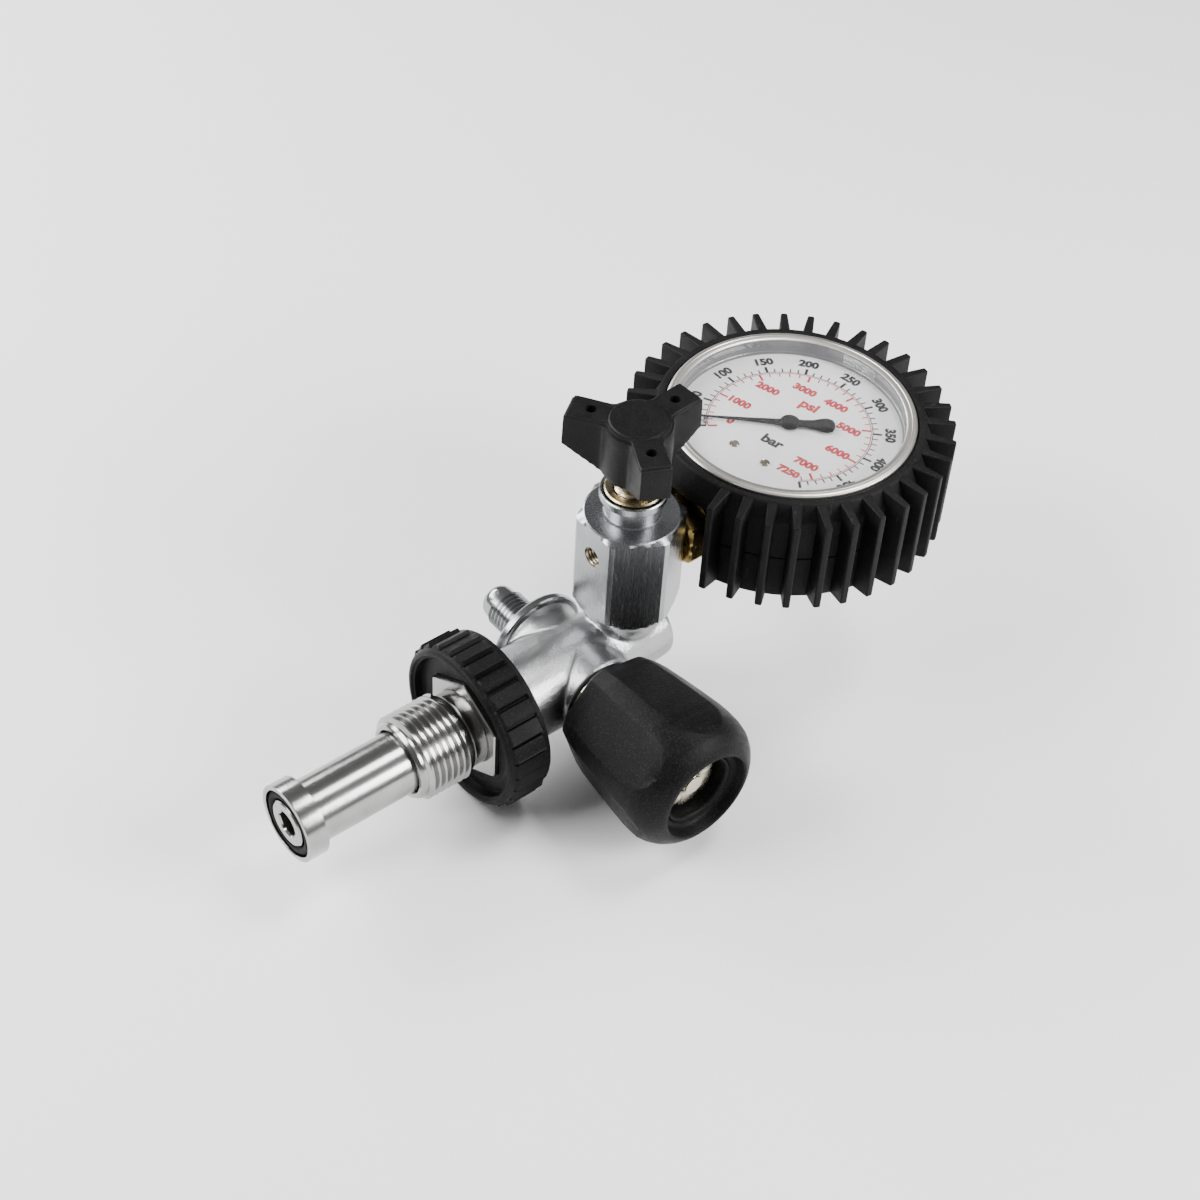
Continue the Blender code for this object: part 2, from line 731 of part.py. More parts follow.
def make_bleed_bushing():
    seat = NECK_TOP + 0.4 * MM + GAP
    outline = [
        (BUSHING_R - 0.4 * MM, BUSHING_TOP),
        (BUSHING_R, BUSHING_TOP - 0.4 * MM),
        (BUSHING_R, seat),
        (BLOCK_BORE_R - GAP, seat),
        (BLOCK_BORE_R - GAP, 44.5 * MM),
        (BUSHING_BORE_R, 44.5 * MM),
        (BUSHING_BORE_R, BUSHING_TOP),
    ]
    bushing = turned("bleed_bushing", outline, brass(), COARSE)
    point_along(bushing, 'Z', (BLOCK_X, 0.0, 0.0))


def make_bleed_spindle():
    outline = [(0.0, 66 * MM), (3.4 * MM, 66 * MM), (3.4 * MM, SCREW_TOP + 0.4 * MM)]
    outline += thread_outline(SCREW_R, 0.7 * MM, SCREW_BOTTOM + MM, SCREW_TOP, SCREW_PITCH)
    outline += [(2.2 * MM, SCREW_BOTTOM - 1.5 * MM), (0.0, SCREW_BOTTOM - 3 * MM)]
    spindle = turned("bleed_spindle", outline, nickel(), 24, closed=False)
    point_along(spindle, 'Z', (BLOCK_X, 0.0, 0.0))


def lobe_outline():
    """Three arms with square tips; the sides between two arms sweep in to the hub."""
    points = []
    for arm in range(3):
        middle = LOBE_FIRST_DEG + 120 * arm
        points.append(polar(10.0 * MM, middle - 30))
        points.append(polar(LOBE_TIP_R - 1.4 * MM, middle - 12.5))
        points.append(polar(LOBE_TIP_R, middle - 9))
        points.append(polar(LOBE_TIP_R, middle + 9))
        points.append(polar(LOBE_TIP_R - 1.4 * MM, middle + 12.5))
        points.append(polar(10.0 * MM, middle + 30))
        points.append(polar(8.0 * MM, middle + 60))
    return points


def make_bleed_knob():
    knob = prism("bleed_knob", lobe_outline(), HUB_BOTTOM, LOBES_TOP, black_plastic())
    widest = LOBE_TIP_R + 2 * MM
    cone_top = HUB_BOTTOM + (widest - HUB_R) * LOBE_UNDERSIDE_SLOPE
    underside = turned("bleed_knob_underside", [
        (0.0, LOBES_TOP + MM),
        (widest, LOBES_TOP + MM),
        (widest, cone_top),
        (HUB_R - MM, HUB_BOTTOM - MM * LOBE_UNDERSIDE_SLOPE),
        (0.0, HUB_BOTTOM - MM * LOBE_UNDERSIDE_SLOPE),
    ], None, 50, closed=False)
    screw_hole = rod("bleed_knob_screw_hole", SCREW_R + GAP, HUB_BOTTOM - MM,
                     SCREW_TOP + 0.4 * MM + GAP, None)
    shank_hole = rod("bleed_knob_shank_hole", 3.4 * MM + GAP, HUB_BOTTOM, 66.3 * MM, None)
    keep_within(knob, underside)
    cut(knob, screw_hole, shank_hole)
    for piece in (knob, underside, screw_hole, shank_hole):
        point_along(piece, 'Z', (BLOCK_X, 0.0, 0.0))
    for arm in range(3):
        x, y = polar(LOBE_HOLE_R, LOBE_FIRST_DEG + 120 * arm)
        hole = rod(f"bleed_knob_hole_{arm}", 1.1 * MM, LOBES_TOP - 5 * MM,
                   LOBES_TOP + MM, None, 12)
        point_along(hole, 'Z', (BLOCK_X + x, y, 0.0))
        cut(knob, hole)


# ---------------------------------------------------------------- gauge
def make_gauge_nut():
    nut = prism("gauge_nut", hexagon(GAUGE_NUT_CORNER_R, 0), GAUGE_NUT_FRONT,
                GAUGE_NUT_BACK, brass())
    hole = rod("gauge_nut_hole", GAUGE_STEM_R + GAP, GAUGE_NUT_FRONT - MM,
               GAUGE_NUT_BACK + MM, None)
    cut(nut, hole)
    point_along(nut, 'X', (0.0, 0.0, GAUGE_AXIS_Z))
    point_along(hole, 'X', (0.0, 0.0, GAUGE_AXIS_Z))


def make_gauge_socket():
    socket = rod("gauge_socket", GAUGE_STEM_R, BLOCK_X + 5 * MM, 128 * MM, brass())
    point_along(socket, 'X', (0.0, 0.0, GAUGE_AXIS_Z))
    head = block("gauge_socket_head", (126 * MM, -6 * MM, GAUGE_AXIS_Z - 6.5 * MM),
                 (136 * MM, 6 * MM, GAUGE_AXIS_Z + 6.5 * MM), None)
    way = rod("gauge_socket_way", 1.5 * MM, BLOCK_X, 132 * MM, None, 16)
    point_along(way, 'X', (0.0, 0.0, GAUGE_AXIS_Z))
    unite(socket, head)
    cut(socket, way)


def make_gauge_case():
    inner = CASE_R - CASE_WALL
    outline = [
        (CASE_R, CASE_TOP),
        (CASE_R, CASE_BOTTOM + 1.5 * MM),
        (CASE_R - 1.5 * MM, CASE_BOTTOM),
        (0.0, CASE_BOTTOM),
    ]
    outline += [
        (0.0, CASE_BOTTOM + CASE_WALL),
        (inner, CASE_BOTTOM + CASE_WALL),
        (inner, CASE_TOP),
    ]
    case = turned("gauge_case", outline, plated_steel(), closed=True)
    point_along(case, 'Z', (GAUGE_X, 0.0, 0.0))
    socket_hole = rod("case_socket_hole", GAUGE_STEM_R + GAP, 120 * MM, 127 * MM, None)
    point_along(socket_hole, 'X', (0.0, 0.0, GAUGE_AXIS_Z))
    plug_hole = rod("case_plug_hole", 5 * MM, CASE_BOTTOM - MM, CASE_BOTTOM + 3 * MM, None, 24)
    point_along(plug_hole, 'Z', (GAUGE_X + 15 * MM, 0.0, 0.0))
    cut(case, socket_hole, plug_hole)


def make_blowout_plug():
    outline = [
        (0.0, CASE_BOTTOM + 2.6 * MM),
        (5.8 * MM, CASE_BOTTOM + 2.6 * MM),
        (5.8 * MM, CASE_BOTTOM + CASE_WALL + GAP),
        (5 * MM - GAP, CASE_BOTTOM + CASE_WALL + GAP),
        (5 * MM - GAP, CASE_BOTTOM - 0.6 * MM),
        (0.0, CASE_BOTTOM - 0.6 * MM),
    ]
    plug = turned("blowout_plug", outline, black_rubber(), 24, closed=False)
    point_along(plug, 'Z', (GAUGE_X + 15 * MM, 0.0, 0.0))


def make_gauge_bezel():
    outline = [
        (BEZEL_R - 0.6 * MM, BEZEL_TOP),
        (BEZEL_R, BEZEL_TOP - 0.6 * MM),
        (BEZEL_R, BEZEL_BOTTOM),
        (CASE_R + GAP, BEZEL_BOTTOM),
        (CASE_R + GAP, CASE_TOP),
        (WINDOW_R + GAP, CASE_TOP),
        (WINDOW_R + GAP, BEZEL_TOP - 0.7 * MM),
        (BEZEL_LIP_R, BEZEL_TOP - 0.7 * MM),
        (BEZEL_LIP_R, BEZEL_TOP - 0.1 * MM),
    ]
    bezel = turned("gauge_bezel", outline, plated_steel(), 64)
    point_along(bezel, 'Z', (GAUGE_X, 0.0, 0.0))


def make_gauge_window():
    window = rod("gauge_window", WINDOW_R, CASE_TOP + GAP, BEZEL_TOP - 0.7 * MM - GAP,
                 clear_glass(), 64)
    point_along(window, 'Z', (GAUGE_X, 0.0, 0.0))


def make_gauge_dial():
    dial = rod("gauge_dial", DIAL_R, DIAL_TOP - DIAL_THICK, DIAL_TOP, dial_white(), 64)
    arbor_hole = rod("dial_arbor_hole", 1.2 * MM, DIAL_TOP - MM, DIAL_TOP + MM, None, 16)
    point_along(dial, 'Z', (GAUGE_X, 0.0, 0.0))
    point_along(arbor_hole, 'Z', (GAUGE_X, 0.0, 0.0))
    cut(dial, arbor_hole)


def make_gauge_pointer():
    blade = prism("gauge_pointer", [
        (-POINTER_LENGTH, 0.0),
        (-3.0 * MM, -1.0 * MM),
        (6.0 * MM, -1.0 * MM),
        (8.0 * MM, -1.9 * MM),
        (POINTER_TAIL, -1.2 * MM),
        (POINTER_TAIL, 1.2 * MM),
        (8.0 * MM, 1.9 * MM),
        (6.0 * MM, 1.0 * MM),
        (-3.0 * MM, 1.0 * MM),
    ], POINTER_BOTTOM, POINTER_BOTTOM + 0.5 * MM, black_plastic())
    hub = rod("pointer_hub", 2.4 * MM, POINTER_BOTTOM, POINTER_BOTTOM + 1.0 * MM, None, 24)
    arbor = rod("pointer_arbor", 0.7 * MM, GEAR_BOTTOM, POINTER_BOTTOM + 0.5 * MM, None, 12)
    unite(blade, hub, arbor)
    for piece in (blade, hub, arbor):
        point_along(piece, 'Z', (GAUGE_X, 0.0, 0.0))
        piece.rotation_euler = (0.0, 0.0, math.radians(POINTER_ZERO_DEG - 180))


def gear_teeth(teeth, first, count, root_r, tip_r):
    points = []
    pitch = 360 / teeth
    for i in range(count):
        start = first + i * pitch
        points.append(polar(root_r, start - 0.3 * pitch))
        points.append(polar(tip_r, start - 0.14 * pitch))
        points.append(polar(tip_r, start + 0.14 * pitch))
        points.append(polar(root_r, start + 0.3 * pitch))
    return points


def make_pinion():
    pitch_r = GEAR_MODULE * PINION_TEETH / 2
    outline = gear_teeth(PINION_TEETH, 0, PINION_TEETH, pitch_r - 0.4 * MM,
                         pitch_r + 0.25 * MM)
    pinion = prism("pinion", outline, GEAR_BOTTOM, GEAR_TOP, brass())
    hole = rod("pinion_hole", 0.7 * MM + GAP, GEAR_BOTTOM - MM, GEAR_TOP + MM, None, 12)
    cut(pinion, hole)
    point_along(pinion, 'Z', (GAUGE_X, 0.0, 0.0))
    point_along(hole, 'Z', (GAUGE_X, 0.0, 0.0))


def make_sector_gear():
    teeth = PINION_TEETH * SECTOR_RATIO
    pitch_r = GEAR_MODULE * teeth / 2
    centre_gap = pitch_r + GEAR_MODULE * PINION_TEETH / 2
    half_tooth = 180 / teeth
    first_tooth = half_tooth - (SECTOR_TEETH - 1) * 360 / teeth
    outline = [(-1.9 * MM, 0.0), (-1.0 * MM, -1.8 * MM)]
    outline += gear_teeth(teeth, first_tooth, SECTOR_TEETH, pitch_r - 0.45 * MM,
                          pitch_r + 0.2 * MM)
    outline += [(0.6 * MM, 1.8 * MM), (-1.0 * MM, 1.8 * MM)]
    sector = prism("sector_gear", outline, GEAR_BOTTOM, GEAR_TOP, brass())
    hole = rod("sector_hole", 0.8 * MM, GEAR_BOTTOM - MM, GEAR_TOP + MM, None, 12)
    cut(sector, hole)
    for piece in (sector, hole):
        point_along(piece, 'Z', (GAUGE_X - centre_gap, 0.0, 0.0))


def make_movement_plate():
    plate = block("movement_plate", (GAUGE_X - 18 * MM, -7 * MM, 42.3 * MM),
                  (GAUGE_X + 8 * MM, 7 * MM, 43.4 * MM), brass())
    arbor_hole = rod("plate_arbor_hole", 1.2 * MM, 41 * MM, 45 * MM, None, 16)
    point_along(arbor_hole, 'Z', (GAUGE_X, 0.0, 0.0))
    cut(plate, arbor_hole)


def make_bourdon_tube():
    curve = bpy.data.curves.new("bourdon_tube", 'CURVE')
    curve.dimensions = '3D'
    curve.bevel_depth = 1.7 * MM
    curve.bevel_resolution = 2
    curve.use_fill_caps = True
    spline = curve.splines.new('POLY')
    count = 17
    spline.points.add(count - 1)
    for i in range(count):
        x, y = polar(21.5 * MM, 206 + 290 * i / (count - 1))
        spline.points[i].co = (GAUGE_X + x, y, 32 * MM, 1.0)
    tube = bpy.data.objects.new("bourdon_tube", curve)
    curve.materials.append(brass())
    PARTS.objects.link(tube)


def make_stop_pin():
    x, y = polar(STOP_PIN_R, POINTER_ZERO_DEG + 4)
    pin = rod("stop_pin", 0.6 * MM, DIAL_TOP + GAP, POINTER_BOTTOM + 0.9 * MM,
              plated_steel(), 12)
    point_along(pin, 'Z', (GAUGE_X + x, y, 0.0))


def make_dial_screw(number, degrees):
    x, y = polar(DIAL_SCREW_R, degrees)
    head = 1.3 * MM
    screw = rod(f"dial_screw_{number}", head, DIAL_TOP + 0.05 * MM,
                DIAL_TOP + 0.5 * MM, plated_steel(), 16)
    point_along(screw, 'Z', (GAUGE_X + x, y, 0.0))


def boot_outline():
    points = []
    pitch = 360 / BOOT_FINS
    for i in range(BOOT_FINS):
        middle = i * pitch
        if abs(middle - 180) < 1.5 * pitch:
            points.append(polar(BOOT_ROOT_R, middle))
            continue
        points.append(polar(BOOT_ROOT_R, middle - 1.25 * FIN_HALF_DEG))
        points.append(polar(BOOT_FIN_R, middle - FIN_HALF_DEG))
        points.append(polar(BOOT_FIN_R, middle + FIN_HALF_DEG))
        points.append(polar(BOOT_ROOT_R, middle + 1.25 * FIN_HALF_DEG))
        points.append(polar(BOOT_ROOT_R, middle + pitch / 2))
    return points


def make_gauge_boot():
    boot = prism("gauge_boot", boot_outline(), BOOT_BOTTOM, BOOT_TOP, black_rubber())
    envelope = turned("boot_envelope", [
        (0.0, BOOT_TOP + MM),
        (BOOT_ROOT_R - 1.6 * MM, BOOT_TOP + MM),
        (BOOT_FIN_R + MM, BOOT_TOP - 1.6 * MM),
        (BOOT_FIN_R + MM, BOOT_BOTTOM + 1.0 * MM),
        (BOOT_ROOT_R + 0.6 * MM, BOOT_BOTTOM - MM),
        (0.0, BOOT_BOTTOM - MM),
    ], None, 50, closed=False)
    hollow = turned("boot_hollow", [
        (0.0, BOOT_TOP + MM),
        (BOOT_BORE_R, BOOT_TOP + MM),
        (BOOT_BORE_R, CASE_BOTTOM - GAP),
        (25 * MM, CASE_BOTTOM - GAP),
        (25 * MM, BOOT_BOTTOM - MM),
        (0.0, BOOT_BOTTOM - MM),
    ], None, closed=False)
    window = block("boot_window",
                   (GAUGE_X - 44 * MM, -BOOT_WINDOW_HALF, BOOT_BOTTOM - MM),
                   (GAUGE_X - 28 * MM, BOOT_WINDOW_HALF, GAUGE_AXIS_Z + BOOT_WINDOW_HALF), None)
    keep_within(boot, envelope)
    cut(boot, hollow, window)
    for piece in (boot, envelope, hollow):
        point_along(piece, 'Z', (GAUGE_X, 0.0, 0.0))


make_nipple_stem()
make_face_o_ring()
make_nipple_retainer()
make_inlet_filter()
make_coupling()
make_handwheel()
make_slip_washer()
make_valve_body()
make_outlet_stub()
make_valve_bonnet()
make_valve_plug()
make_valve_spindle()
make_valve_knob()
make_knob_nut()
make_bleed_block()
make_block_union()
make_bleed_bushing()
make_bleed_spindle()
make_bleed_knob()
make_gauge_nut()
make_gauge_socket()
make_gauge_case()
make_blowout_plug()
make_gauge_bezel()
make_gauge_window()
make_gauge_dial()
make_gauge_pointer()
make_pinion()
make_sector_gear()
make_movement_plate()
make_bourdon_tube()
make_stop_pin()
make_dial_screw(1, DIAL_SCREW_DEG[0])
make_dial_screw(2, DIAL_SCREW_DEG[1])
make_gauge_boot()
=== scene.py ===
import math

import bmesh
import bpy
from mathutils import Matrix, Vector


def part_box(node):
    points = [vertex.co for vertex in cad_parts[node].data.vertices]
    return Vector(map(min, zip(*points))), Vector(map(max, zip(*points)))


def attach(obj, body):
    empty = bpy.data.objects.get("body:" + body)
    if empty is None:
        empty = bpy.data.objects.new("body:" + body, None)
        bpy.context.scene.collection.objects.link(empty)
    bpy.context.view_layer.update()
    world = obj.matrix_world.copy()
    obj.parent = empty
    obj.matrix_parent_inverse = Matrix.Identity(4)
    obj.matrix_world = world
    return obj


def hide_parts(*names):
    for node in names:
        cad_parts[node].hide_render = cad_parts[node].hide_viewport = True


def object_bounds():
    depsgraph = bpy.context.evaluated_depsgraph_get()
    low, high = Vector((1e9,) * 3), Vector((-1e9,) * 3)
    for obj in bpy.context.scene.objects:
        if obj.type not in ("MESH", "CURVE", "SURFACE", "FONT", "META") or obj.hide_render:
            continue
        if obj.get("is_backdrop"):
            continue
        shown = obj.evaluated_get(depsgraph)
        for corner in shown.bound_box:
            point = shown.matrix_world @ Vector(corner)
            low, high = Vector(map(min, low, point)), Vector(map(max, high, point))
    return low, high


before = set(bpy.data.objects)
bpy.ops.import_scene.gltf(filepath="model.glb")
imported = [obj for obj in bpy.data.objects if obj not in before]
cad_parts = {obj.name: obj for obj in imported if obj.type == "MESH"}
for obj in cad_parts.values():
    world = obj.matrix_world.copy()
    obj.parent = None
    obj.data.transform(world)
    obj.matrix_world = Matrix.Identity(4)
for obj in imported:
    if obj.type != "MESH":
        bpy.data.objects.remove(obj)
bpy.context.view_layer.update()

mm = 0.001
body = "valve_assembly"                       # everything that does not move


def middleOf(node):
    # in metres
    low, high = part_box(node)
    return (Vector(low) + Vector(high)) / 2


def spanOf(node, axis):
    # lowest and highest along one axis, in millimetres
    low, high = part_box(node)
    return low[axis] / mm, high[axis] / mm


valveX = middleOf("valve_knob").x / mm        # axis of the shut-off knob and the outlet
blockX = middleOf("bleed_bushing").x / mm     # axis of the bleed block
gaugeX = middleOf("gauge_window").x / mm
gaugeZ = middleOf("gauge_nut").z / mm         # height of the gauge connection

alongX = Matrix.Rotation(math.radians(90), 4, 'Y')
alongY = Matrix.Translation((valveX * mm, 0, 0)) @ Matrix.Rotation(math.radians(-90), 4, 'X')
alongGaugeX = Matrix.Translation((0, 0, gaugeZ * mm)) @ alongX
atBlock = Matrix.Translation((blockX * mm, 0, 0))
atGauge = Matrix.Translation((gaugeX * mm, 0, 0))


# shader tools: a wrapped socket that does maths, and one way to add any other node

class Wire:
    def __init__(self, owner, socket):
        self.owner = owner
        self.socket = socket

    def maths(self, operation, first, second):
        return self.owner.add("ShaderNodeMath", {"operation": operation}, {0: first, 1: second})

    def __add__(self, other):
        return self.maths('ADD', self, other)

    def __radd__(self, other):
        return self.maths('ADD', other, self)

    def __mul__(self, other):
        return self.maths('MULTIPLY', self, other)

    def __rmul__(self, other):
        return self.maths('MULTIPLY', other, self)


class Finish:
    def __init__(self, name):
        self.material = bpy.data.materials.new(name)
        self.material.use_nodes = True
        self.tree = self.material.node_tree
        self.shader = self.tree.nodes["Principled BSDF"]
        self.place = self.add("ShaderNodeTexCoord", pick="Object")

    def add(self, kind, settings=None, feeds=None, pick=0):
        made = self.tree.nodes.new(kind)
        for key, value in (settings or {}).items():
            setattr(made, key, value)
        for key, value in (feeds or {}).items():
            self.feed(made.inputs[key], value)
        return Wire(self, made.outputs[pick])

    def feed(self, socket, value):
        if isinstance(value, Wire):
            self.tree.links.new(value.socket, socket)
        else:
            socket.default_value = value

    def set(self, **feeds):
        for key, value in feeds.items():
            self.feed(self.shader.inputs[key.replace("_", " ")], value)
        return self

    def grain(self, size, detail=2.0, rough=0.5, stretch=(1, 1, 1), pick="Fac"):
        # size is the width of one speck in millimetres, stretch draws it out along an axis
        spread = [1 / (size * mm * s) for s in stretch]
        moved = self.add("ShaderNodeMapping", None, {"Vector": self.place, "Scale": spread})
        return self.add("ShaderNodeTexNoise", None,
                        {"Vector": moved, "Scale": 1.0, "Detail": detail, "Roughness": rough}, pick)

    def spread(self, value, low, high, toLow=0.0, toHigh=1.0):
        return self.add("ShaderNodeMapRange", {"interpolation_type": 'SMOOTHSTEP'},
                        {"Value": value, "From Min": low, "From Max": high,
                         "To Min": toLow, "To Max": toHigh})

    def mix(self, factor, first, second):
        return self.add("ShaderNodeMix", {"data_type": 'RGBA'},
                        {"Factor": factor, "A": first, "B": second}, "Result")

    def relief(self, height, depth, under=None):
        # depth in millimetres
        feeds = {"Height": height, "Strength": 1.0, "Distance": depth * mm}
        if under is not None:
            feeds["Normal"] = under
        return self.add("ShaderNodeBump", None, feeds, "Normal")


def grey(level, tint=(1, 1, 1)):
    return (level * tint[0], level * tint[1], level * tint[2], 1)


# finishes

def turnedPlating(name, axis, level=0.36, tint=(1, 0.99, 0.975), rough=0.14):
    # fine rings left by the lathe, round the given axis
    finish = Finish(name)
    stretch = [60, 60, 60]
    stretch[axis] = 1
    rings = finish.grain(0.14, 3.0, 0.6, stretch)
    smears = finish.grain(7.0, 4.0, 0.6)
    finish.set(
        Base_Color=finish.mix(finish.spread(smears, 0.35, 0.7), grey(level, tint), grey(level * 0.86, tint)),
        Metallic=1.0,
        Roughness=rings * 0.1 + finish.spread(smears, 0.45, 0.75) * 0.05 + rough,
        Normal=finish.relief(rings, 0.012))
    return finish.material


def brushedPlating(name):
    # drawn bar: fine upright lines, with a few brighter scratches
    finish = Finish(name)
    level = 0.34
    tint = (0.98, 1.0, 1.03)
    lines = finish.grain(0.16, 3.0, 0.6, (1, 1, 70))
    scratches = finish.spread(finish.grain(0.3, 2.0, 0.5, (1, 1, 25)), 0.68, 0.75)
    smears = finish.grain(9.0, 3.0, 0.5)
    plain = finish.mix(finish.spread(smears, 0.35, 0.7), grey(level, tint), grey(level * 0.88, tint))
    finish.set(
        Base_Color=finish.mix(scratches * 0.5, plain, grey(0.55, tint)),
        Metallic=1.0,
        Roughness=lines * 0.12 + scratches * 0.1 + 0.2,
        Normal=finish.relief(lines, 0.009))
    return finish.material


def castPlating(name):
    # plated over a sand casting: pits, soft lumps and a cloudy tone
    finish = Finish(name)
    pits = finish.grain(0.7, 5.0, 0.62)
    lumps = finish.grain(4.0, 3.0, 0.5)
    shade = finish.grain(9.0, 3.0, 0.5)
    finish.set(
        Base_Color=finish.mix(shade, grey(0.33, (0.98, 1, 1.03)), grey(0.5, (1, 1, 1.01))),
        Metallic=1.0,
        Roughness=pits * 0.16 + 0.23,
        Normal=finish.relief(pits, 0.11, finish.relief(lumps, 0.16)))
    return finish.material


def warmNickel(name, axis, dark=(0.62, 0.55, 0.4), light=(0.72, 0.69, 0.6)):
    finish = Finish(name)
    stretch = [40, 40, 40]
    stretch[axis] = 1
    rings = finish.grain(0.1, 3.0, 0.6, stretch)
    patches = finish.grain(2.4, 4.0, 0.6)
    finish.set(
        Base_Color=finish.mix(patches, (*dark, 1), (*light, 1)),
        Metallic=1.0,
        Roughness=patches * 0.2 + 0.13,
        Normal=finish.relief(rings, 0.008))
    return finish.material


def turnedBrass(name, axis, dark=(0.4, 0.27, 0.07), light=(0.72, 0.53, 0.2)):
    finish = Finish(name)
    stretch = [40, 40, 40]
    stretch[axis] = 1
    rings = finish.grain(0.14, 3.0, 0.6, stretch)
    stain = finish.grain(3.0, 4.0, 0.6)
    finish.set(
        Base_Color=finish.mix(stain, (*dark, 1), (*light, 1)),
        Metallic=1.0,
        Roughness=stain * 0.22 + 0.14,
        Normal=finish.relief(rings, 0.01))
    return finish.material


def mouldedBlack(name, speck=0.35, depth=0.03, level=0.0032, rough=0.38, shine=0.13, fleck=0.012):
    # spark-eroded mould grain, handling marks and a little lint
    finish = Finish(name)
    skin = finish.grain(speck, 3.0, 0.6)
    handled = finish.grain(7.0, 4.0, 0.6)
    lint = finish.spread(finish.grain(0.9, 2.0, 0.5), 0.7, 0.78)
    base = finish.mix(handled, grey(level, (1, 1, 1.05)), grey(level * 1.7, (1, 1, 1.04)))
    grained = finish.mix(finish.spread(skin, 0.5, 0.7), base, grey(fleck, (1, 1, 1.04)))
    finish.set(
        Base_Color=finish.mix(lint * 0.25, grained, grey(0.05)),
        Roughness=finish.spread(handled, 0.3, 0.7, rough - 0.06, rough + 0.08) + skin * 0.12,
        Normal=finish.relief(skin, depth),
        Specular_IOR_Level=shine)
    return finish.material


def mouldedRubber(name):
    finish = Finish(name)
    skin = finish.grain(0.5, 4.0, 0.65)
    bloom = finish.grain(11.0, 5.0, 0.6)
    scuffs = finish.grain(1.6, 3.0, 0.6, (1, 1, 5))
    dust = finish.spread(scuffs, 0.62, 0.78) * 0.3
    base = finish.mix(finish.spread(bloom, 0.35, 0.7), grey(0.0028), grey(0.006, (1, 1, 1.02)))
    grained = finish.mix(finish.spread(skin, 0.5, 0.7), base, grey(0.011))
    finish.set(
        Base_Color=finish.mix(dust, grained, grey(0.045)),
        Roughness=finish.spread(bloom, 0.3, 0.7, 0.46, 0.6) + skin * 0.12,
        Normal=finish.relief(skin, 0.05),
        Specular_IOR_Level=0.14)
    return finish.material


def printedDial(name):
    finish = Finish(name)
    fibre = finish.grain(0.5, 3.0, 0.6)
    tone = finish.grain(14.0, 3.0, 0.5)
    finish.set(
        Base_Color=finish.mix(tone, grey(0.78, (1, 1, 1.01)), grey(0.84, (1, 1, 1.0))),
        Roughness=fibre * 0.15 + 0.45,
        Normal=finish.relief(fibre, 0.003))
    return finish.material


def printInk(name, colour):
    finish = Finish(name)
    tone = finish.grain(0.6, 3.0, 0.6)
    light = (colour[0] * 1.2 + 0.01, colour[1] * 1.2 + 0.01, colour[2] * 1.2 + 0.01, 1)
    finish.set(
        Base_Color=finish.mix(finish.spread(tone, 0.5, 0.8), (*colour, 1), light),
        Roughness=tone * 0.1 + 0.45)
    return finish.material


def windowGlass(name):
    # clear in the middle, a little more mirror towards the edge of sight
    finish = Finish(name)
    haze = finish.grain(9.0, 3.0, 0.5)
    finish.set(Base_Color=grey(0.95), Metallic=1.0, Roughness=haze * 0.03 + 0.01)
    mirror = Wire(finish, finish.shader.outputs[0])
    clear = finish.add("ShaderNodeBsdfTransparent")
    edge = finish.add("ShaderNodeLayerWeight", None, {"Blend": 0.32}, "Fresnel")
    mixed = finish.add("ShaderNodeMixShader", None, {0: edge * 0.18 + 0.004, 1: clear, 2: mirror})
    finish.feed(finish.tree.nodes["Material Output"].inputs["Surface"], mixed)
    return finish.material


def palePlastic(name):
    finish = Finish(name)
    tone = finish.grain(2.0, 3.0, 0.5)
    finish.set(
        Base_Color=finish.mix(tone, (0.74, 0.72, 0.66, 1), (0.82, 0.8, 0.75, 1)),
        Roughness=tone * 0.15 + 0.35)
    return finish.material


platingX = turnedPlating("plating along the spigot", 0)
platingZ = brushedPlating("plating of the block")
bezelPlating = turnedPlating("bezel steel", 2, level=0.8, tint=(1, 0.975, 0.91), rough=0.3)
outletPlating = turnedPlating("plating of the outlet", 1, tint=(0.99, 1.0, 1.02))
castChrome = castPlating("plated casting")
knobNickel = warmNickel("warm nickel across", 1)
screwNickel = warmNickel("warm nickel upright", 2, (0.34, 0.28, 0.18), (0.55, 0.49, 0.37))
brassX = turnedBrass("brass along the gauge stem", 0)
brassZ = turnedBrass("brass of the movement", 2)
bushingMetal = turnedBrass("bushing metal", 2, (0.3, 0.24, 0.14), (0.52, 0.46, 0.33))
wheelBlack = mouldedBlack("handwheel plastic", speck=0.45, depth=0.1, rough=0.38, shine=0.08)
knobBlack = mouldedBlack("knob plastic", speck=0.45, depth=0.12, rough=0.34, shine=0.08, fleck=0.014)
leverBlack = mouldedBlack("lever plastic", speck=0.38, depth=0.05, rough=0.38)
bootRubber = mouldedRubber("boot rubber")
sealBlack = mouldedBlack("seal rubber", speck=0.25, depth=0.01, rough=0.45, shine=0.05, fleck=0.006)
spacerGrey = mouldedBlack("spacer grey", speck=0.4, depth=0.01, level=0.13, rough=0.4, fleck=0.17)
dialPaint = printedDial("dial face")
blackInk = printInk("black print", (0.015, 0.015, 0.017))
redInk = printInk("red print", (0.46, 0.018, 0.03))
glass = windowGlass("window glass")
bearingPlastic = palePlastic("bearing plastic")
print("finishes made")


# mesh tools

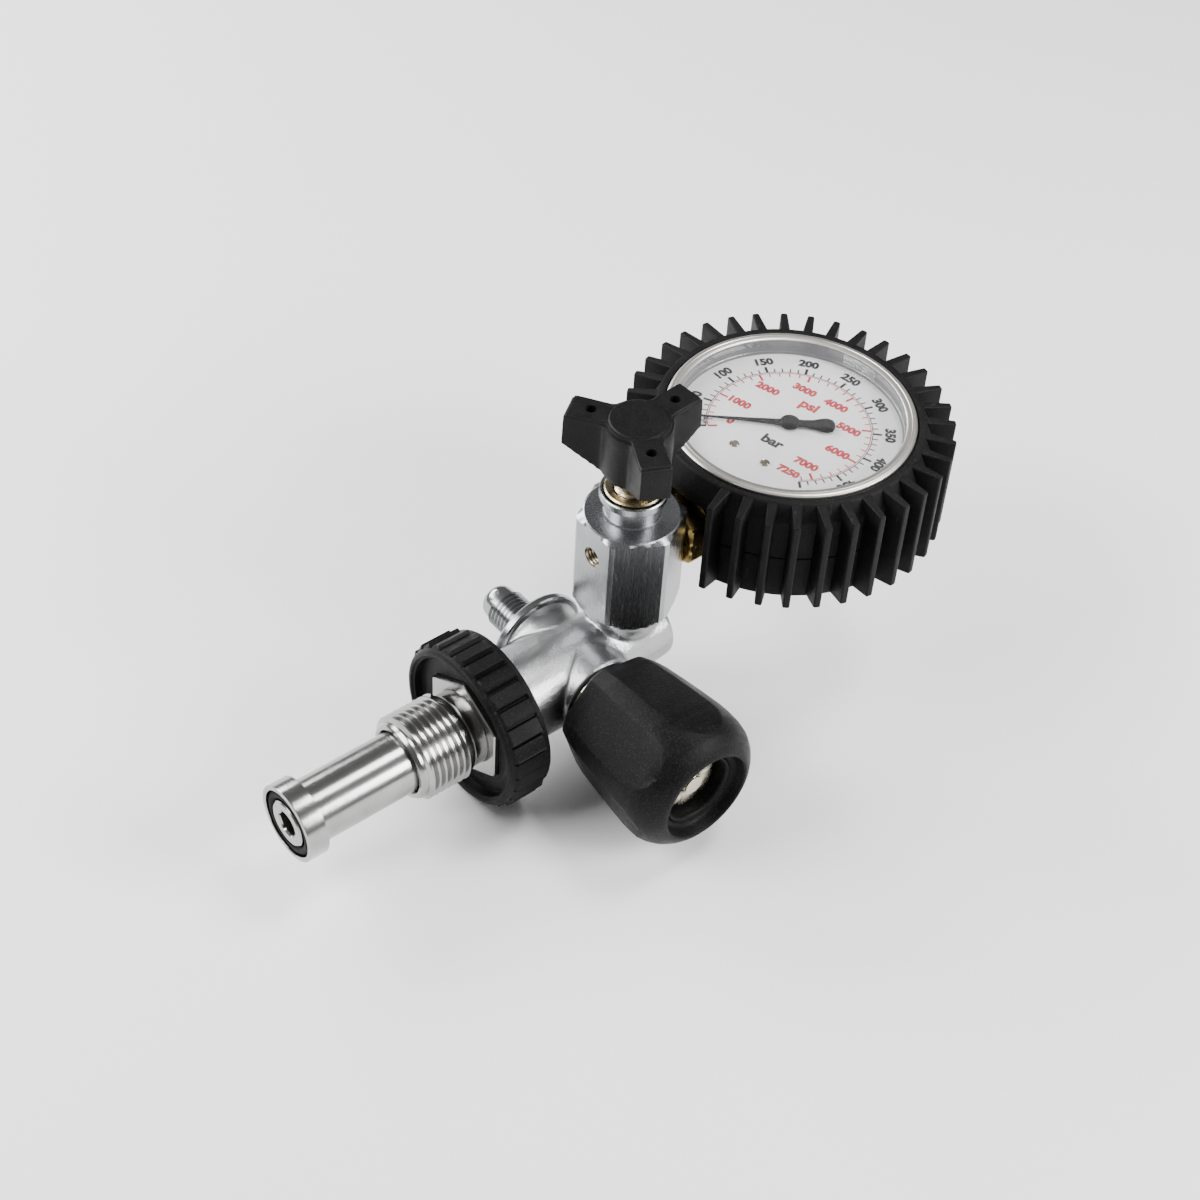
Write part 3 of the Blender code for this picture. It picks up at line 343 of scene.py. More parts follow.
def spin(bm, profile, steps, close=False):
    # profile is a list of (radius, height) in millimetres round the Z axis
    verts = [bm.verts.new((radius * mm, 0, height * mm)) for radius, height in profile]
    edges = [bm.edges.new(pair) for pair in zip(verts, verts[1:])]
    if close:
        edges.append(bm.edges.new((verts[-1], verts[0])))
    bmesh.ops.spin(bm, geom=verts + edges, cent=(0, 0, 0), axis=(0, 0, 1),
                   angle=math.tau, steps=steps, use_merge=True)
    bmesh.ops.remove_doubles(bm, verts=bm.verts, dist=0.002 * mm)


def windThread(bm, root, crest, start, pitch, turns, perTurn=48):
    # one ridge with flat crests wound round the Z axis, fading out at both ends
    foot = 0.46 * pitch
    flat = 0.07 * pitch
    corners = [(root - 0.15, -foot), (crest, -flat), (crest, flat), (root - 0.15, foot)]
    before = set(bm.verts)
    verts = [bm.verts.new((radius * mm, 0, (start + height) * mm)) for radius, height in corners]
    edges = [bm.edges.new((verts[i], verts[(i + 1) % 4])) for i in range(4)]
    bmesh.ops.spin(bm, geom=verts + edges, cent=(0, 0, 0), axis=(0, 0, 1), angle=math.tau * turns,
                   dvec=(0, 0, pitch * mm / perTurn), steps=int(perTurn * turns), use_merge=False)
    coil = [v for v in bm.verts if v not in before]
    rim = [e for v in coil for e in v.link_edges if e.is_boundary]
    bmesh.ops.holes_fill(bm, edges=list(set(rim)), sides=4)
    fade = 0.6 * pitch
    for v in coil:
        radius = math.hypot(v.co.x, v.co.y) / mm
        height = v.co.z / mm
        inside = min(height - start + foot, start + pitch * turns + foot - height) / fade
        keep = max(0.0, min(1.0, inside))
        if radius > root:
            wanted = root - 0.12 + (radius - root + 0.12) * keep
            v.co.x *= wanted / radius
            v.co.y *= wanted / radius


def hexRadius(angle, flat, first=0.0):
    # distance from the centre to a six-sided outline with a flat facing `first`
    sixth = math.tau / 6
    offset = (angle - first + sixth / 2) % sixth - sixth / 2
    return flat / math.cos(offset)


def setRadius(vert, radius):
    # moves a point straight out from or in to the Z axis
    now = math.hypot(vert.co.x, vert.co.y)
    vert.co.x *= radius * mm / now
    vert.co.y *= radius * mm / now


def joinInto(bm, extra):
    # adds all of extra to bm and frees extra
    extra.normal_update()
    spare = bpy.data.meshes.new("spare")
    extra.to_mesh(spare)
    extra.free()
    bm.from_mesh(spare)
    bpy.data.meshes.remove(spare)


def smooth01(value):
    # eases from 0 to 1
    value = max(0.0, min(1.0, value))
    return value * value * (3 - 2 * value)


def makePiece(name, bm, place, rides, finish, stands=(), bevel=0.0, sharp=35):
    # bm is turned into a piece in its place; stands are the plain nodes that it takes over from
    bmesh.ops.recalc_face_normals(bm, faces=bm.faces)
    bmesh.ops.transform(bm, matrix=place, verts=bm.verts)
    mesh = bpy.data.meshes.new(name)
    bm.to_mesh(mesh)
    bm.free()
    mesh.shade_smooth()
    piece = bpy.data.objects.new(name, mesh)
    bpy.context.scene.collection.objects.link(piece)
    mesh.materials.append(finish)
    if bevel:
        soften(piece, bevel, sharp)
    else:
        mesh.set_sharp_from_angle(angle=math.radians(sharp))
        evenShading(piece)
    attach(piece, rides)
    if stands:
        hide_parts(*stands)
    return piece


def evenShading(piece):
    # large faces keep their own direction, so small edges stay crisp
    even = piece.modifiers.new("even shading", 'WEIGHTED_NORMAL')
    even.keep_sharp = True
    even.weight = 60


def cutAway(piece, cutter, name, sharp):
    mesh = bpy.data.meshes.new(name)
    cutter.to_mesh(mesh)
    cutter.free()
    knife = bpy.data.objects.new(name, mesh)
    bpy.context.scene.collection.objects.link(knife)
    piece.modifiers.clear()
    cut = piece.modifiers.new(name, 'BOOLEAN')
    cut.object = knife
    cut.operation = 'DIFFERENCE'
    cut.solver = 'EXACT'
    view = bpy.context.evaluated_depsgraph_get()
    done = bpy.data.meshes.new_from_object(piece.evaluated_get(view))
    old = piece.data
    piece.modifiers.clear()
    piece.data = done
    bpy.data.meshes.remove(old)
    bpy.data.objects.remove(knife)
    done.shade_smooth()
    done.set_sharp_from_angle(angle=math.radians(sharp))
    evenShading(piece)


def soften(piece, width, sharp):
    edge = piece.modifiers.new("edges", 'BEVEL')
    edge.width = width * mm
    edge.segments = 2
    edge.limit_method = 'ANGLE'
    edge.angle_limit = math.radians(sharp)
    edge.harden_normals = True
    edge.miter_outer = 'MITER_ARC'


def repaint(node, finish):
    # a plain node that stays in view only gets a better finish
    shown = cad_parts[node]
    for holder in shown.material_slots:
        holder.material = finish


# spigot

spigot = {
    "headRadius": 10.2, "headLength": 5.5, "stemRadius": 8.1, "edge": 0.28,
    "recessRadius": 8.9, "recessDepth": 2.0, "boreRadius": 5.0, "boreDepth": 6.9,
    "airWay": 2.5, "sealFront": 0.3, "sealThick": 2.55, "sealGap": 0.08,
}


def makeSpigot(p):
    back = spanOf("nipple_stem", 0)[1]
    bm = bmesh.new()
    head = p["headLength"]
    spin(bm, [
        (p["airWay"], back), (p["stemRadius"], back), (p["stemRadius"], head + 0.7),
        (p["stemRadius"] + 0.15, head + 0.25), (p["stemRadius"] + 0.5, head),
        (p["headRadius"] - p["edge"], head), (p["headRadius"] - 0.08, head - 0.1),
        (p["headRadius"], head - p["edge"]), (p["headRadius"], p["edge"]),
        (p["headRadius"] - 0.08, 0.1), (p["headRadius"] - p["edge"], 0.0),
        (p["recessRadius"] + 0.15, 0.0), (p["recessRadius"], 0.15),
        (p["recessRadius"], p["recessDepth"]), (p["boreRadius"], p["recessDepth"]),
        (p["boreRadius"], p["boreDepth"]), (p["airWay"], p["boreDepth"]),
    ], 120, close=True)
    makePiece("spigot", bm, alongX, body, platingX, ["nipple_stem"], sharp=28)

    ring = bmesh.new()
    radius = p["sealThick"] / 2
    bmesh.ops.create_circle(ring, segments=20, radius=radius * mm)
    bmesh.ops.rotate(ring, verts=ring.verts, matrix=Matrix.Rotation(math.radians(90), 3, 'X'))
    shift = ((p["recessRadius"] - p["sealGap"] - radius) * mm, 0, (p["sealFront"] + radius) * mm)
    bmesh.ops.translate(ring, verts=ring.verts, vec=shift)
    bmesh.ops.spin(ring, geom=ring.verts[:] + ring.edges[:], cent=(0, 0, 0), axis=(0, 0, 1),
                   angle=math.tau, steps=96, use_merge=True)
    bmesh.ops.remove_doubles(ring, verts=ring.verts, dist=0.002 * mm)
    makePiece("spigot_seal", ring, alongX, body, sealBlack, ["face_o_ring"])


retainer = {"radius": 6.05, "shank": 4.7, "headBack": 1.7, "socketFlat": 3.1, "edge": 0.35}


def makeRetainer(p):
    low, high = spanOf("nipple_retainer", 0)
    bm = bmesh.new()
    spin(bm, [
        (p["shank"], high), (p["shank"], p["headBack"]), (p["radius"], p["headBack"]),
        (p["radius"], low + p["edge"]),
        (p["radius"] - p["edge"], low), (p["socketFlat"] + 0.6, low),
        (p["socketFlat"] + 0.01, low + 0.45), (p["socketFlat"] + 0.01, high),
    ], 120, close=True)
    for v in bm.verts:
        radius = math.hypot(v.co.x, v.co.y) / mm
        if radius < p["socketFlat"] + 0.1:
            setRadius(v, hexRadius(math.atan2(v.co.y, v.co.x), p["socketFlat"]))
    makePiece("seal_screw", bm, alongX, body, platingX, ["nipple_retainer"], sharp=30)
    repaint("inlet_filter", brassX)


makeSpigot(spigot)
makeRetainer(retainer)
print("spigot done")


# coupling and handwheel

coupling = {
    "crest": 11.45, "root": 10.3, "pitch": 1.814, "turns": 7.4,
    "front": 32.2, "threadBack": 47.8, "neckRadius": 9.9, "hexFront": 51.6, "hexBack": 59.9,
    "hexFlat": 12.65, "hexCorner": 14.5, "hexBlank": 14.1, "hexFace": 11.4, "bore": 8.35,
}


def makeCoupling(p):
    back = spanOf("coupling", 0)[1]
    bm = bmesh.new()
    front = p["front"]
    neck = p["neckRadius"]
    spin(bm, [
        (p["bore"], back), (neck - 0.2, back), (neck - 0.2, p["hexBack"]),
        (neck - 0.2, p["hexFront"] + 1.0), (neck, p["hexFront"] + 0.1),
        (neck, p["threadBack"] + 0.9), (neck + 0.1, p["threadBack"] + 0.4), (p["root"], p["threadBack"]),
        (p["root"], front + 1.0), (p["root"] - 0.4, front + 0.25), (p["root"] - 0.7, front),
        (p["bore"] + 0.4, front), (p["bore"] + 0.1, front + 0.3), (p["bore"], front + 0.6),
    ], 96, close=True)
    windThread(bm, p["root"], p["crest"], front + 1.3, p["pitch"], p["turns"])
    makePiece("coupling_thread", bm, alongX, "hand_coupling", platingX,
              ["coupling"], sharp=28)

    nut = bmesh.new()
    blank = p["hexBlank"]
    neck = p["neckRadius"]
    hexFront = p["hexFront"]
    spin(nut, [
        (neck + 0.05, p["hexBack"]), (blank, p["hexBack"]), (blank, hexFront + 0.35),
        (blank - 0.1, hexFront), (p["hexFace"], hexFront), (neck + 0.5, hexFront + 0.15),
        (neck + 0.05, hexFront + 0.3),
    ], 144, close=True)
    for v in nut.verts:
        radius = math.hypot(v.co.x, v.co.y) / mm
        if radius > p["hexFace"] + 1:
            wanted = hexRadius(math.atan2(v.co.y, v.co.x), p["hexFlat"], math.radians(30))
            inset = 0.25 if radius < blank - 0.05 else 0.0
            setRadius(v, min(wanted, p["hexCorner"]) - inset)
    makePiece("coupling_hexagon", nut, alongX, "hand_coupling", platingX,
              ["coupling"], sharp=25)


handwheel = {
    "rootRadius": 21.4, "pads": 28, "padSet": 1.5, "padLength": 9.6, "padStart": 0.25, "padRise": 0.85,
    "groove": 0.5, "rim": 19.7, "recess": 19.1, "recessDepth": 2.9, "webRing": 16.2, "hub": 10.1,
    "pocket": 14.0, "pocketFlat": 12.8, "pocketCorner": 14.7, "pocketFloor": 2.5, "stepsPerPad": 16,
}


def padHeight(p, turn, along):
    # ratchet-like pads: each one rises round the rim, then drops into a narrow groove
    rise = smooth01((turn - 0.05) / 0.08) * smooth01((0.97 - turn) / 0.08)
    ends = smooth01(along / 0.5) * smooth01((p["padLength"] - along) / 0.5)
    ridge = 0.14 * smooth01((turn - 0.8) / 0.06) * smooth01((0.92 - turn) / 0.04)
    return (p["padStart"] + p["padRise"] * turn + ridge + p["groove"]) * rise * ends - p["groove"] * ends


def makeHandwheel(p):
    front, back = spanOf("handwheel", 0)
    floor = front + p["recessDepth"]
    padFront = front + p["padSet"]
    pocketFloor = back - p["pocketFloor"]
    web = floor + 0.12
    bm = bmesh.new()
    rows = [0.0, 0.25, 0.5, 0.9, 2.2, 3.6, 4.8, 6.0, 7.4, 8.7, 9.1, 9.35, p["padLength"]]
    profile = [(p["hub"], back), (18.6, back), (18.9, back - 0.15), (20.6, back - 0.15), (21.3, back - 0.5)]
    profile += [(p["rootRadius"], padFront + row) for row in reversed(rows)]
    profile += [
        (21.35, front + 0.75), (21.0, front + 0.3), (20.6, front + 0.05), (p["rim"] + 0.2, front),
        (p["rim"], front + 0.2), (p["rim"] - 0.15, front + 0.5), (p["recess"] + 0.3, front + 0.6),
        (p["recess"], front + 0.8), (p["recess"] - 0.2, floor - 0.3), (p["recess"] - 0.5, floor),
        (p["webRing"] + 0.2, floor), (p["webRing"], web), (p["webRing"] - 1.0, web), (p["pocket"], web),
        (p["pocket"], pocketFloor), (p["hub"], pocketFloor),
    ]
    spin(bm, profile, p["pads"] * p["stepsPerPad"], close=True)
    for v in bm.verts:
        radius = math.hypot(v.co.x, v.co.y) / mm
        along = v.co.z / mm - padFront
        angle = math.atan2(v.co.y, v.co.x)
        if abs(radius - p["rootRadius"]) < 0.02:
            turn = (angle / math.tau * p["pads"]) % 1.0
            setRadius(v, radius + padHeight(p, turn, along))
        elif abs(radius - p["pocket"]) < 0.02:
            setRadius(v, min(hexRadius(angle, p["pocketFlat"], math.radians(30)), p["pocketCorner"]))
    makePiece("wheel", bm, alongX, "hand_coupling", wheelBlack, ["handwheel"], sharp=40)
    repaint("slip_washer", bearingPlastic)


makeCoupling(coupling)
makeHandwheel(handwheel)
print("coupling and handwheel done")


# valve body

casting = {"barrel": 12.4, "tail": 8.4, "neck": 11.2, "neckEnd": 13.4, "boss": 11.4, "bossEnd": 13.2,
           "seat": 10.2, "voxel": 0.42, "smooth": 9}


def makeCasting(p):
    front, back = spanOf("valve_body", 0)
    bm = bmesh.new()
    spin(bm, [
        (0, back), (p["tail"], back), (p["tail"] + 0.6, back - 0.6), (p["tail"] + 1.2, back - 9),
        (p["barrel"] - 0.4, valveX + 3),
        (p["barrel"], valveX - 8), (p["barrel"], front + 1.0), (p["barrel"] - 1, front), (0, front),
    ], 72)
    bmesh.ops.transform(bm, matrix=alongX, verts=bm.verts)
    cross = bmesh.new()
    spin(cross, [
        (0, p["neckEnd"]), (p["neck"] + 0.9, p["neckEnd"]), (p["neck"] + 0.6, p["neckEnd"] - 1.6),
        (p["neck"], p["neckEnd"] - 3.2), (p["neck"] - 0.3, 0), (p["boss"], -5),
        (p["boss"], 0.6 - p["bossEnd"]), (p["boss"] - 0.6, -p["bossEnd"]), (0, -p["bossEnd"]),
    ], 72)
    bmesh.ops.transform(cross, matrix=alongY, verts=cross.verts)
    seat = bmesh.new()
    top = spanOf("valve_body", 2)[1]
    spin(seat, [(0, top), (p["seat"], top), (p["seat"] - 0.4, top - 3), (p["seat"] - 5, 2), (0, 2)], 60)
    bmesh.ops.transform(seat, matrix=atBlock, verts=seat.verts)
    for extra in (cross, seat):
        joinInto(bm, extra)
    piece = makePiece("casting", bm, Matrix(), body, castChrome, ["valve_body"])
    piece.modifiers.clear()
    piece.data.shade_smooth()
    cells = piece.modifiers.new("one skin", 'REMESH')
    cells.mode = 'VOXEL'
    cells.voxel_size = p["voxel"] * mm
    cells.use_smooth_shade = True
    rub = piece.modifiers.new("fillets", 'SMOOTH')
    rub.factor = 0.6
    rub.iterations = p["smooth"]


flange = {"radius": 13.2, "inner": 12.0, "outer": 14.6, "hole": 5.75}


def makeFlange(p):
    bm = bmesh.new()
    inner = p["inner"]
    outer = p["outer"]
    radius = p["radius"]
    face = outer - 0.15
    spin(bm, [
        (p["hole"], inner), (radius - 1.2, inner - 0.2), (radius - 0.3, inner + 0.1),
        (radius, inner + 0.5), (radius, outer - 0.7), (radius - 0.3, outer - 0.2),
        (radius - 0.9, outer), (8.0, outer), (7.6, face), (p["hole"] + 0.3, face), (p["hole"], outer - 0.4),
    ], 120, close=True)
    makePiece("outlet_flange", bm, alongY, body, outletPlating, ["valve_body"], sharp=30)


outlet = {"crest": 5.5, "root": 4.75, "pitch": 1.27, "turns": 7.6, "threadStart": 17.1, "bore": 1.6}


def makeOutlet(p):
    low, high = spanOf("outlet_stub", 1)
    bm = bmesh.new()
    threadEnd = p["threadStart"] + p["pitch"] * p["turns"]
    spin(bm, [
        (p["bore"], high - 0.1), (2.1, high), (3.0, high - 0.1), (3.9, high - 0.6), (4.4, high - 1.3),
        (4.7, high - 2.4), (p["root"], threadEnd + 0.4), (p["root"], p["threadStart"] - 0.6),
        (p["crest"] - 0.15, p["threadStart"] - 1.3), (p["crest"] - 0.05, low), (p["bore"], low),
    ], 72, close=True)
    windThread(bm, p["root"], p["crest"], p["threadStart"], p["pitch"], p["turns"])
    makePiece("outlet_thread", bm, alongY, body, outletPlating, ["outlet_stub"], sharp=28)


makeCasting(casting)
makeFlange(flange)
makeOutlet(outlet)
repaint("valve_bonnet", knobNickel)
repaint("valve_spindle", knobNickel)
repaint("valve_plug", bearingPlastic)
print("valve body done")


# shut-off knob

knob = {
    "valveEnd": -15.2, "outerEnd": -53.4, "steps": 432, "rows": 110,
    "scallops": 6, "firstScallop": 42.0, "scallopDepth": 1.15, "scallopHalfAngle": 22.0,
    "scallopEnd": -48.6, "roundEnd": 6.5, "rim": 12.4, "mouth": 9.6, "mouthFace": -50.1,
    "pocket": 8.7, "pocketFloor": -44.6, "spindleHole": 3.3, "hollow": 11.6, "hollowFloor": -28.5,
}


def knobOutline(height):
    # barrel outline: widest near the outer end, drawn in at the valve
    points = [(-15.2, 13.9), (-16.2, 15.1), (-19, 16.1), (-22, 16.8), (-28, 17.6), (-34, 18.3),
              (-40, 18.9), (-43, 19.0), (-46, 18.7), (-48, 18.1), (-50, 17.0), (-51.6, 15.6),
              (-52.8, 14.1), (-53.2, 13.3), (-53.4, 12.7)]
    for (highZ, highR), (lowZ, lowR) in zip(points, points[1:]):
        if lowZ <= height <= highZ:
            share = (highZ - height) / (highZ - lowZ)
            return highR + (lowR - highR) * share
    return points[-1][1]


def scallopDip(p, angle, height):
    # finger grooves with a rounded end, a hollow curve across
    sixth = math.tau / p["scallops"]
    offset = (angle - math.radians(p["firstScallop"]) + sixth / 2) % sixth - sixth / 2
    run = max(0.001, min(1.0, (height - p["scallopEnd"]) / p["roundEnd"]))
    half = math.radians(p["scallopHalfAngle"]) * math.sqrt(1 - (1 - run) ** 2)
    return p["scallopDepth"] * (0.5 + 0.5 * run) * max(0.0, 1 - (offset / half) ** 2)


def makeKnob(p):
    bm = bmesh.new()
    valveEnd = p["valveEnd"]
    run = valveEnd - p["outerEnd"]
    rim = p["rim"]
    face = p["mouthFace"]
    outer = [valveEnd - run * i / p["rows"] for i in range(p["rows"] + 1)]
    profile = [(knobOutline(z), z) for z in outer]
    profile += [
        (rim - 0.05, p["outerEnd"] + 0.1), (rim - 0.25, p["outerEnd"] + 0.4), (rim - 0.7, face - 1.1),
        (rim - 1.2, face - 0.2), (rim - 2.1, face + 0.2), (p["mouth"] + 0.25, face),
        (p["mouth"], face - 0.25), (p["mouth"] - 0.3, face - 0.15), (p["pocket"] + 0.15, face + 0.2),
        (p["pocket"], face + 0.7), (p["pocket"], p["pocketFloor"]), (p["spindleHole"], p["pocketFloor"]),
        (p["spindleHole"], p["hollowFloor"]), (p["hollow"], p["hollowFloor"]),
        (p["hollow"], valveEnd - 0.4), (rim, valveEnd),
    ]
    spin(bm, profile, p["steps"], close=True)
    for v in bm.verts:
        radius = math.hypot(v.co.x, v.co.y) / mm
        height = v.co.z / mm
        if radius > rim + 0.1 and height > p["scallopEnd"]:
            setRadius(v, radius - scallopDip(p, math.atan2(v.co.y, v.co.x), height))
    makePiece("shut_off_knob_cover", bm, alongY, "shut_off_knob", knobBlack,
              ["valve_knob"], sharp=50)


endNut = {"radius": 7.9, "bore": 3.3, "notches": 6, "notchHalf": 9.0, "notchDepth": 0.9}


def makeEndNut(p):
    low, high = spanOf("knob_nut", 1)
    bm = bmesh.new()
    spin(bm, [
        (p["bore"], high), (p["radius"], high), (p["radius"], low + 0.5), (p["radius"] - 0.4, low + 0.05),
        (p["radius"] - 1.0, low), (p["bore"] + 1.7, low + 0.15), (p["bore"] + 0.9, low + 0.4),
        (p["bore"], low + 0.4),
    ], 144, close=True)
    for v in bm.verts:
        radius = math.hypot(v.co.x, v.co.y) / mm
        if radius > p["radius"] - 1.4:
            part = math.tau / p["notches"]
            offset = abs((math.atan2(v.co.y, v.co.x) + part / 2) % part - part / 2)
            dip = smooth01(1 - offset / math.radians(p["notchHalf"]))
            setRadius(v, radius - p["notchDepth"] * dip)
    makePiece("knob_end_nut", bm, alongY, "shut_off_knob", knobNickel, ["knob_nut"], sharp=40)


makeKnob(knob)
makeEndNut(endNut)
print("shut-off knob done")


# bleed block

bleedBlock = {
    "flat": 12.1, "cornerTurn": 27, "foot": 11.2, "hexBottom": 14.6, "hexTop": 44.4, "crown": 11.7,
    "neck": 6.9, "neckTop": 49.5, "lip": 8.4, "bore": 7.6, "boreDepth": 2.5, "core": 6.1,
    "ventRadius": 2.7, "ventZ": 35.7, "ventDepth": 3.4, "ventPitch": 0.8, "ventThreads": 4,
}


def makeBlock(p):
    bottom, top = spanOf("bleed_block", 2)
    bm = bmesh.new()
    hexTop = p["hexTop"]
    hexBottom = p["hexBottom"]
    neckTop = p["neckTop"]
    flat = p["flat"]
    corner = flat / math.cos(math.radians(p["cornerTurn"]))
    spin(bm, [
        (p["core"], top - p["boreDepth"]), (p["bore"], top - p["boreDepth"]), (p["bore"], top - 0.15),
        (p["bore"] + 0.15, top), (p["lip"] - 0.25, top), (p["lip"], top - 0.25), (p["lip"], neckTop + 0.5),
        (p["lip"] - 0.3, neckTop + 0.1), (p["neck"] + 0.2, neckTop), (p["neck"], neckTop - 0.3),
        (p["neck"], hexTop + 0.5), (p["neck"] + 0.2, hexTop + 0.1), (p["neck"] + 0.6, hexTop),
        (p["crown"], hexTop), (flat, hexTop - 0.2), (corner, hexTop - 0.9), (corner, hexTop - 1.0),
        (corner, hexTop - 4), (corner, 30), (corner, 20), (corner, hexBottom + 2.6),
        (flat + 0.9, hexBottom + 1.9), (flat + 0.4, hexBottom + 1.1), (flat - 0.2, hexBottom + 0.3),
        (p["foot"], bottom + 0.4), (p["foot"] - 0.5, bottom), (p["core"], bottom),
    ], 360, close=True)
    for v in bm.verts:
        radius = math.hypot(v.co.x, v.co.y) / mm
        height = v.co.z / mm
        if radius > p["crown"] - 0.1 and hexBottom - 0.1 < height < hexTop + 0.1:
            setRadius(v, min(radius, hexRadius(math.atan2(v.co.y, v.co.x), flat)))
    block = makePiece("block", bm, atBlock, body, platingZ, ["bleed_block"], sharp=20)
    drill = bmesh.new()
    bmesh.ops.create_cone(drill, cap_ends=True, segments=40, radius1=p["ventRadius"] * mm,
                          radius2=p["ventRadius"] * mm, depth=8 * mm)
    turnIt = Matrix.Translation(((blockX - flat) * mm, 0, p["ventZ"] * mm)) @ alongX
    bmesh.ops.transform(drill, matrix=turnIt, verts=drill.verts)
    cutAway(block, drill, "vent_drill", 20)


def makeVentThread(p):
    bm = bmesh.new()
    depth = p["ventDepth"]
    wall = p["ventRadius"] + 0.05
    spin(bm, [(wall, -depth), (wall, 0.0), (wall + 0.2, 0.0), (wall + 0.2, -depth)], 40, close=True)
    for groove in range(p["ventThreads"]):
        z = -0.55 - p["ventPitch"] * groove
        spin(bm, [(wall, z - 0.35), (wall - 0.45, z), (wall, z + 0.35)], 40, close=True)
    face = Matrix.Translation(((blockX - p["flat"] + 0.05) * mm, 0, p["ventZ"] * mm)) @ alongX
    flip = Matrix.Rotation(math.pi, 4, 'X')
    makePiece("vent_thread", bm, face @ flip, body, bushingMetal, ["bleed_block"], sharp=25)


bushing = {"radius": 7.3, "bore": 5.0, "shank": 5.8, "flange": 2.3}


def makeBushing(p):
    low, high = spanOf("bleed_bushing", 2)
    bm = bmesh.new()
    spin(bm, [
        (p["bore"], high - 0.5), (p["bore"] + 0.5, high), (p["radius"] - 0.35, high),
        (p["radius"], high - 0.3), (p["radius"], high - p["flange"]), (p["shank"], high - p["flange"]),
        (p["shank"], low), (p["bore"], low),
    ], 96, close=True)
    makePiece("bushing", bm, atBlock, body, bushingMetal, ["bleed_bushing"], sharp=30)


bleedScrew = {
    "crest": 4.7, "root": 4.0, "pitch": 1.5, "threadStart": 41.0, "turns": 11.2,
    "neck": 3.4, "neckLow": 58.9, "coneTop": 40.4, "coneRadius": 2.2,
}


def makeBleedScrew(p):
    low, high = spanOf("bleed_spindle", 2)
    bm = bmesh.new()
    spin(bm, [
        (0, high), (p["neck"] - 0.2, high), (p["neck"], high - 0.2), (p["neck"], p["neckLow"]),
        (p["root"], p["neckLow"] - 0.5), (p["root"], p["coneTop"]),
        (p["coneRadius"], p["coneTop"] - 2.2), (0, low),
    ], 64)
    windThread(bm, p["root"], p["crest"], p["threadStart"], p["pitch"], p["turns"])
    makePiece("bleed_screw_thread", bm, atBlock, "bleed_screw", screwNickel,
              ["bleed_spindle"], sharp=28)


makeBlock(bleedBlock)
makeVentThread(bleedBlock)
makeBushing(bushing)
makeBleedScrew(bleedScrew)
repaint("block_union", platingZ)
print("bleed block done")


# three-lobed handle

lever = {
    "top": 73.6, "hubBottom": 56.6, "first": 124.0, "tip": 17.5, "armHalf": 3.8, "middle": 8.3,
    "blend": 0.7, "corner": 0.3, "coneLow": 5.6, "coneSlope": 0.6, "disc": 7.2, "discRise": 0.3,
    "holeCircle": 11.8, "holeRadius": 1.4, "holeDepth": 3.0, "socket": 5.2, "socketTop": 59.3, "steps": 360,
}


def leverRadius(p, angle):
    # a round middle with three straight arms, blended where they meet
    third = math.tau / 3
    offset = abs((angle - math.radians(p["first"]) + third / 2) % third - third / 2)
    side = p["armHalf"] / max(math.sin(offset), 0.01)
    blend = p["blend"]
    outline = blend * math.log(math.exp(min(side, 40) / blend) + math.exp(p["middle"] / blend))
    reach = p["tip"] / math.cos(min(offset, 0.5))
    corner = p["corner"]
    return -corner * math.log(math.exp(-outline / corner) + math.exp(-reach / corner))


def makeLever(p):
    # each layer is a height and how far its outline stands outside the plain one
    bm = bmesh.new()
    arms = p["top"] - p["discRise"]
    hub = p["hubBottom"]
    layers = [
        (arms, -1.0), (arms - 0.12, -0.65), (arms - 0.75, -0.55), (arms - 0.9, -0.1), (arms - 1.1, 0.0),
        (70.0, 0.1), (67.0, 0.15),
    ]
    layers += [(float(z), 0.2) for z in range(65, 57, -1)]
    layers += [(hub + 0.6, 0.2), (hub + 0.3, 0.1), (hub, 0.0)]
    blank = 10.0
    profile = [(blank, z) for z, grow in layers]
    disc = [(0, p["top"]), (p["disc"] - 0.3, p["top"]), (p["disc"], arms + 0.05), (p["disc"] + 0.1, arms)]
    socket = [(p["socket"], hub), (p["socket"], p["socketTop"]), (0, p["socketTop"])]
    spin(bm, disc + profile + socket, p["steps"])
    for v in bm.verts:
        radius = math.hypot(v.co.x, v.co.y) / mm
        height = v.co.z / mm
        if radius < blank - 0.1:
            continue
        grow = min(layers, key=lambda layer: abs(layer[0] - height))[1]
        angle = math.atan2(v.co.y, v.co.x)
        cone = p["coneLow"] + max(0.0, height - hub) / p["coneSlope"] + min(grow, 0.0)
        setRadius(v, min(leverRadius(p, angle) + grow, cone))
    piece = makePiece("lever", bm, atBlock, "bleed_handle", leverBlack,
                      ["bleed_knob"], sharp=30)
    drills = bmesh.new()
    for arm in range(3):
        angle = math.radians(p["first"] + 120 * arm)
        hole = Matrix.Translation(((blockX + p["holeCircle"] * math.cos(angle)) * mm,
                                   p["holeCircle"] * math.sin(angle) * mm, p["top"] * mm))
        bmesh.ops.create_cone(drills, cap_ends=True, segments=24, radius1=p["holeRadius"] * mm * 0.85,
                              radius2=p["holeRadius"] * mm * 1.1, depth=2 * p["holeDepth"] * mm, matrix=hole)
    cutAway(piece, drills, "lever_drills", 30)


makeLever(lever)
print("lever done")


# gauge

gauge = {
    "bezel": 32.0, "bezelInner": 31.3, "lipInner": 29.2, "groove": 30.5, "seat": 47.8, "topZ": 50.4,
    "spacerLow": 28.7, "spacerStep": 47.6, "dialTop": 45.6,
}


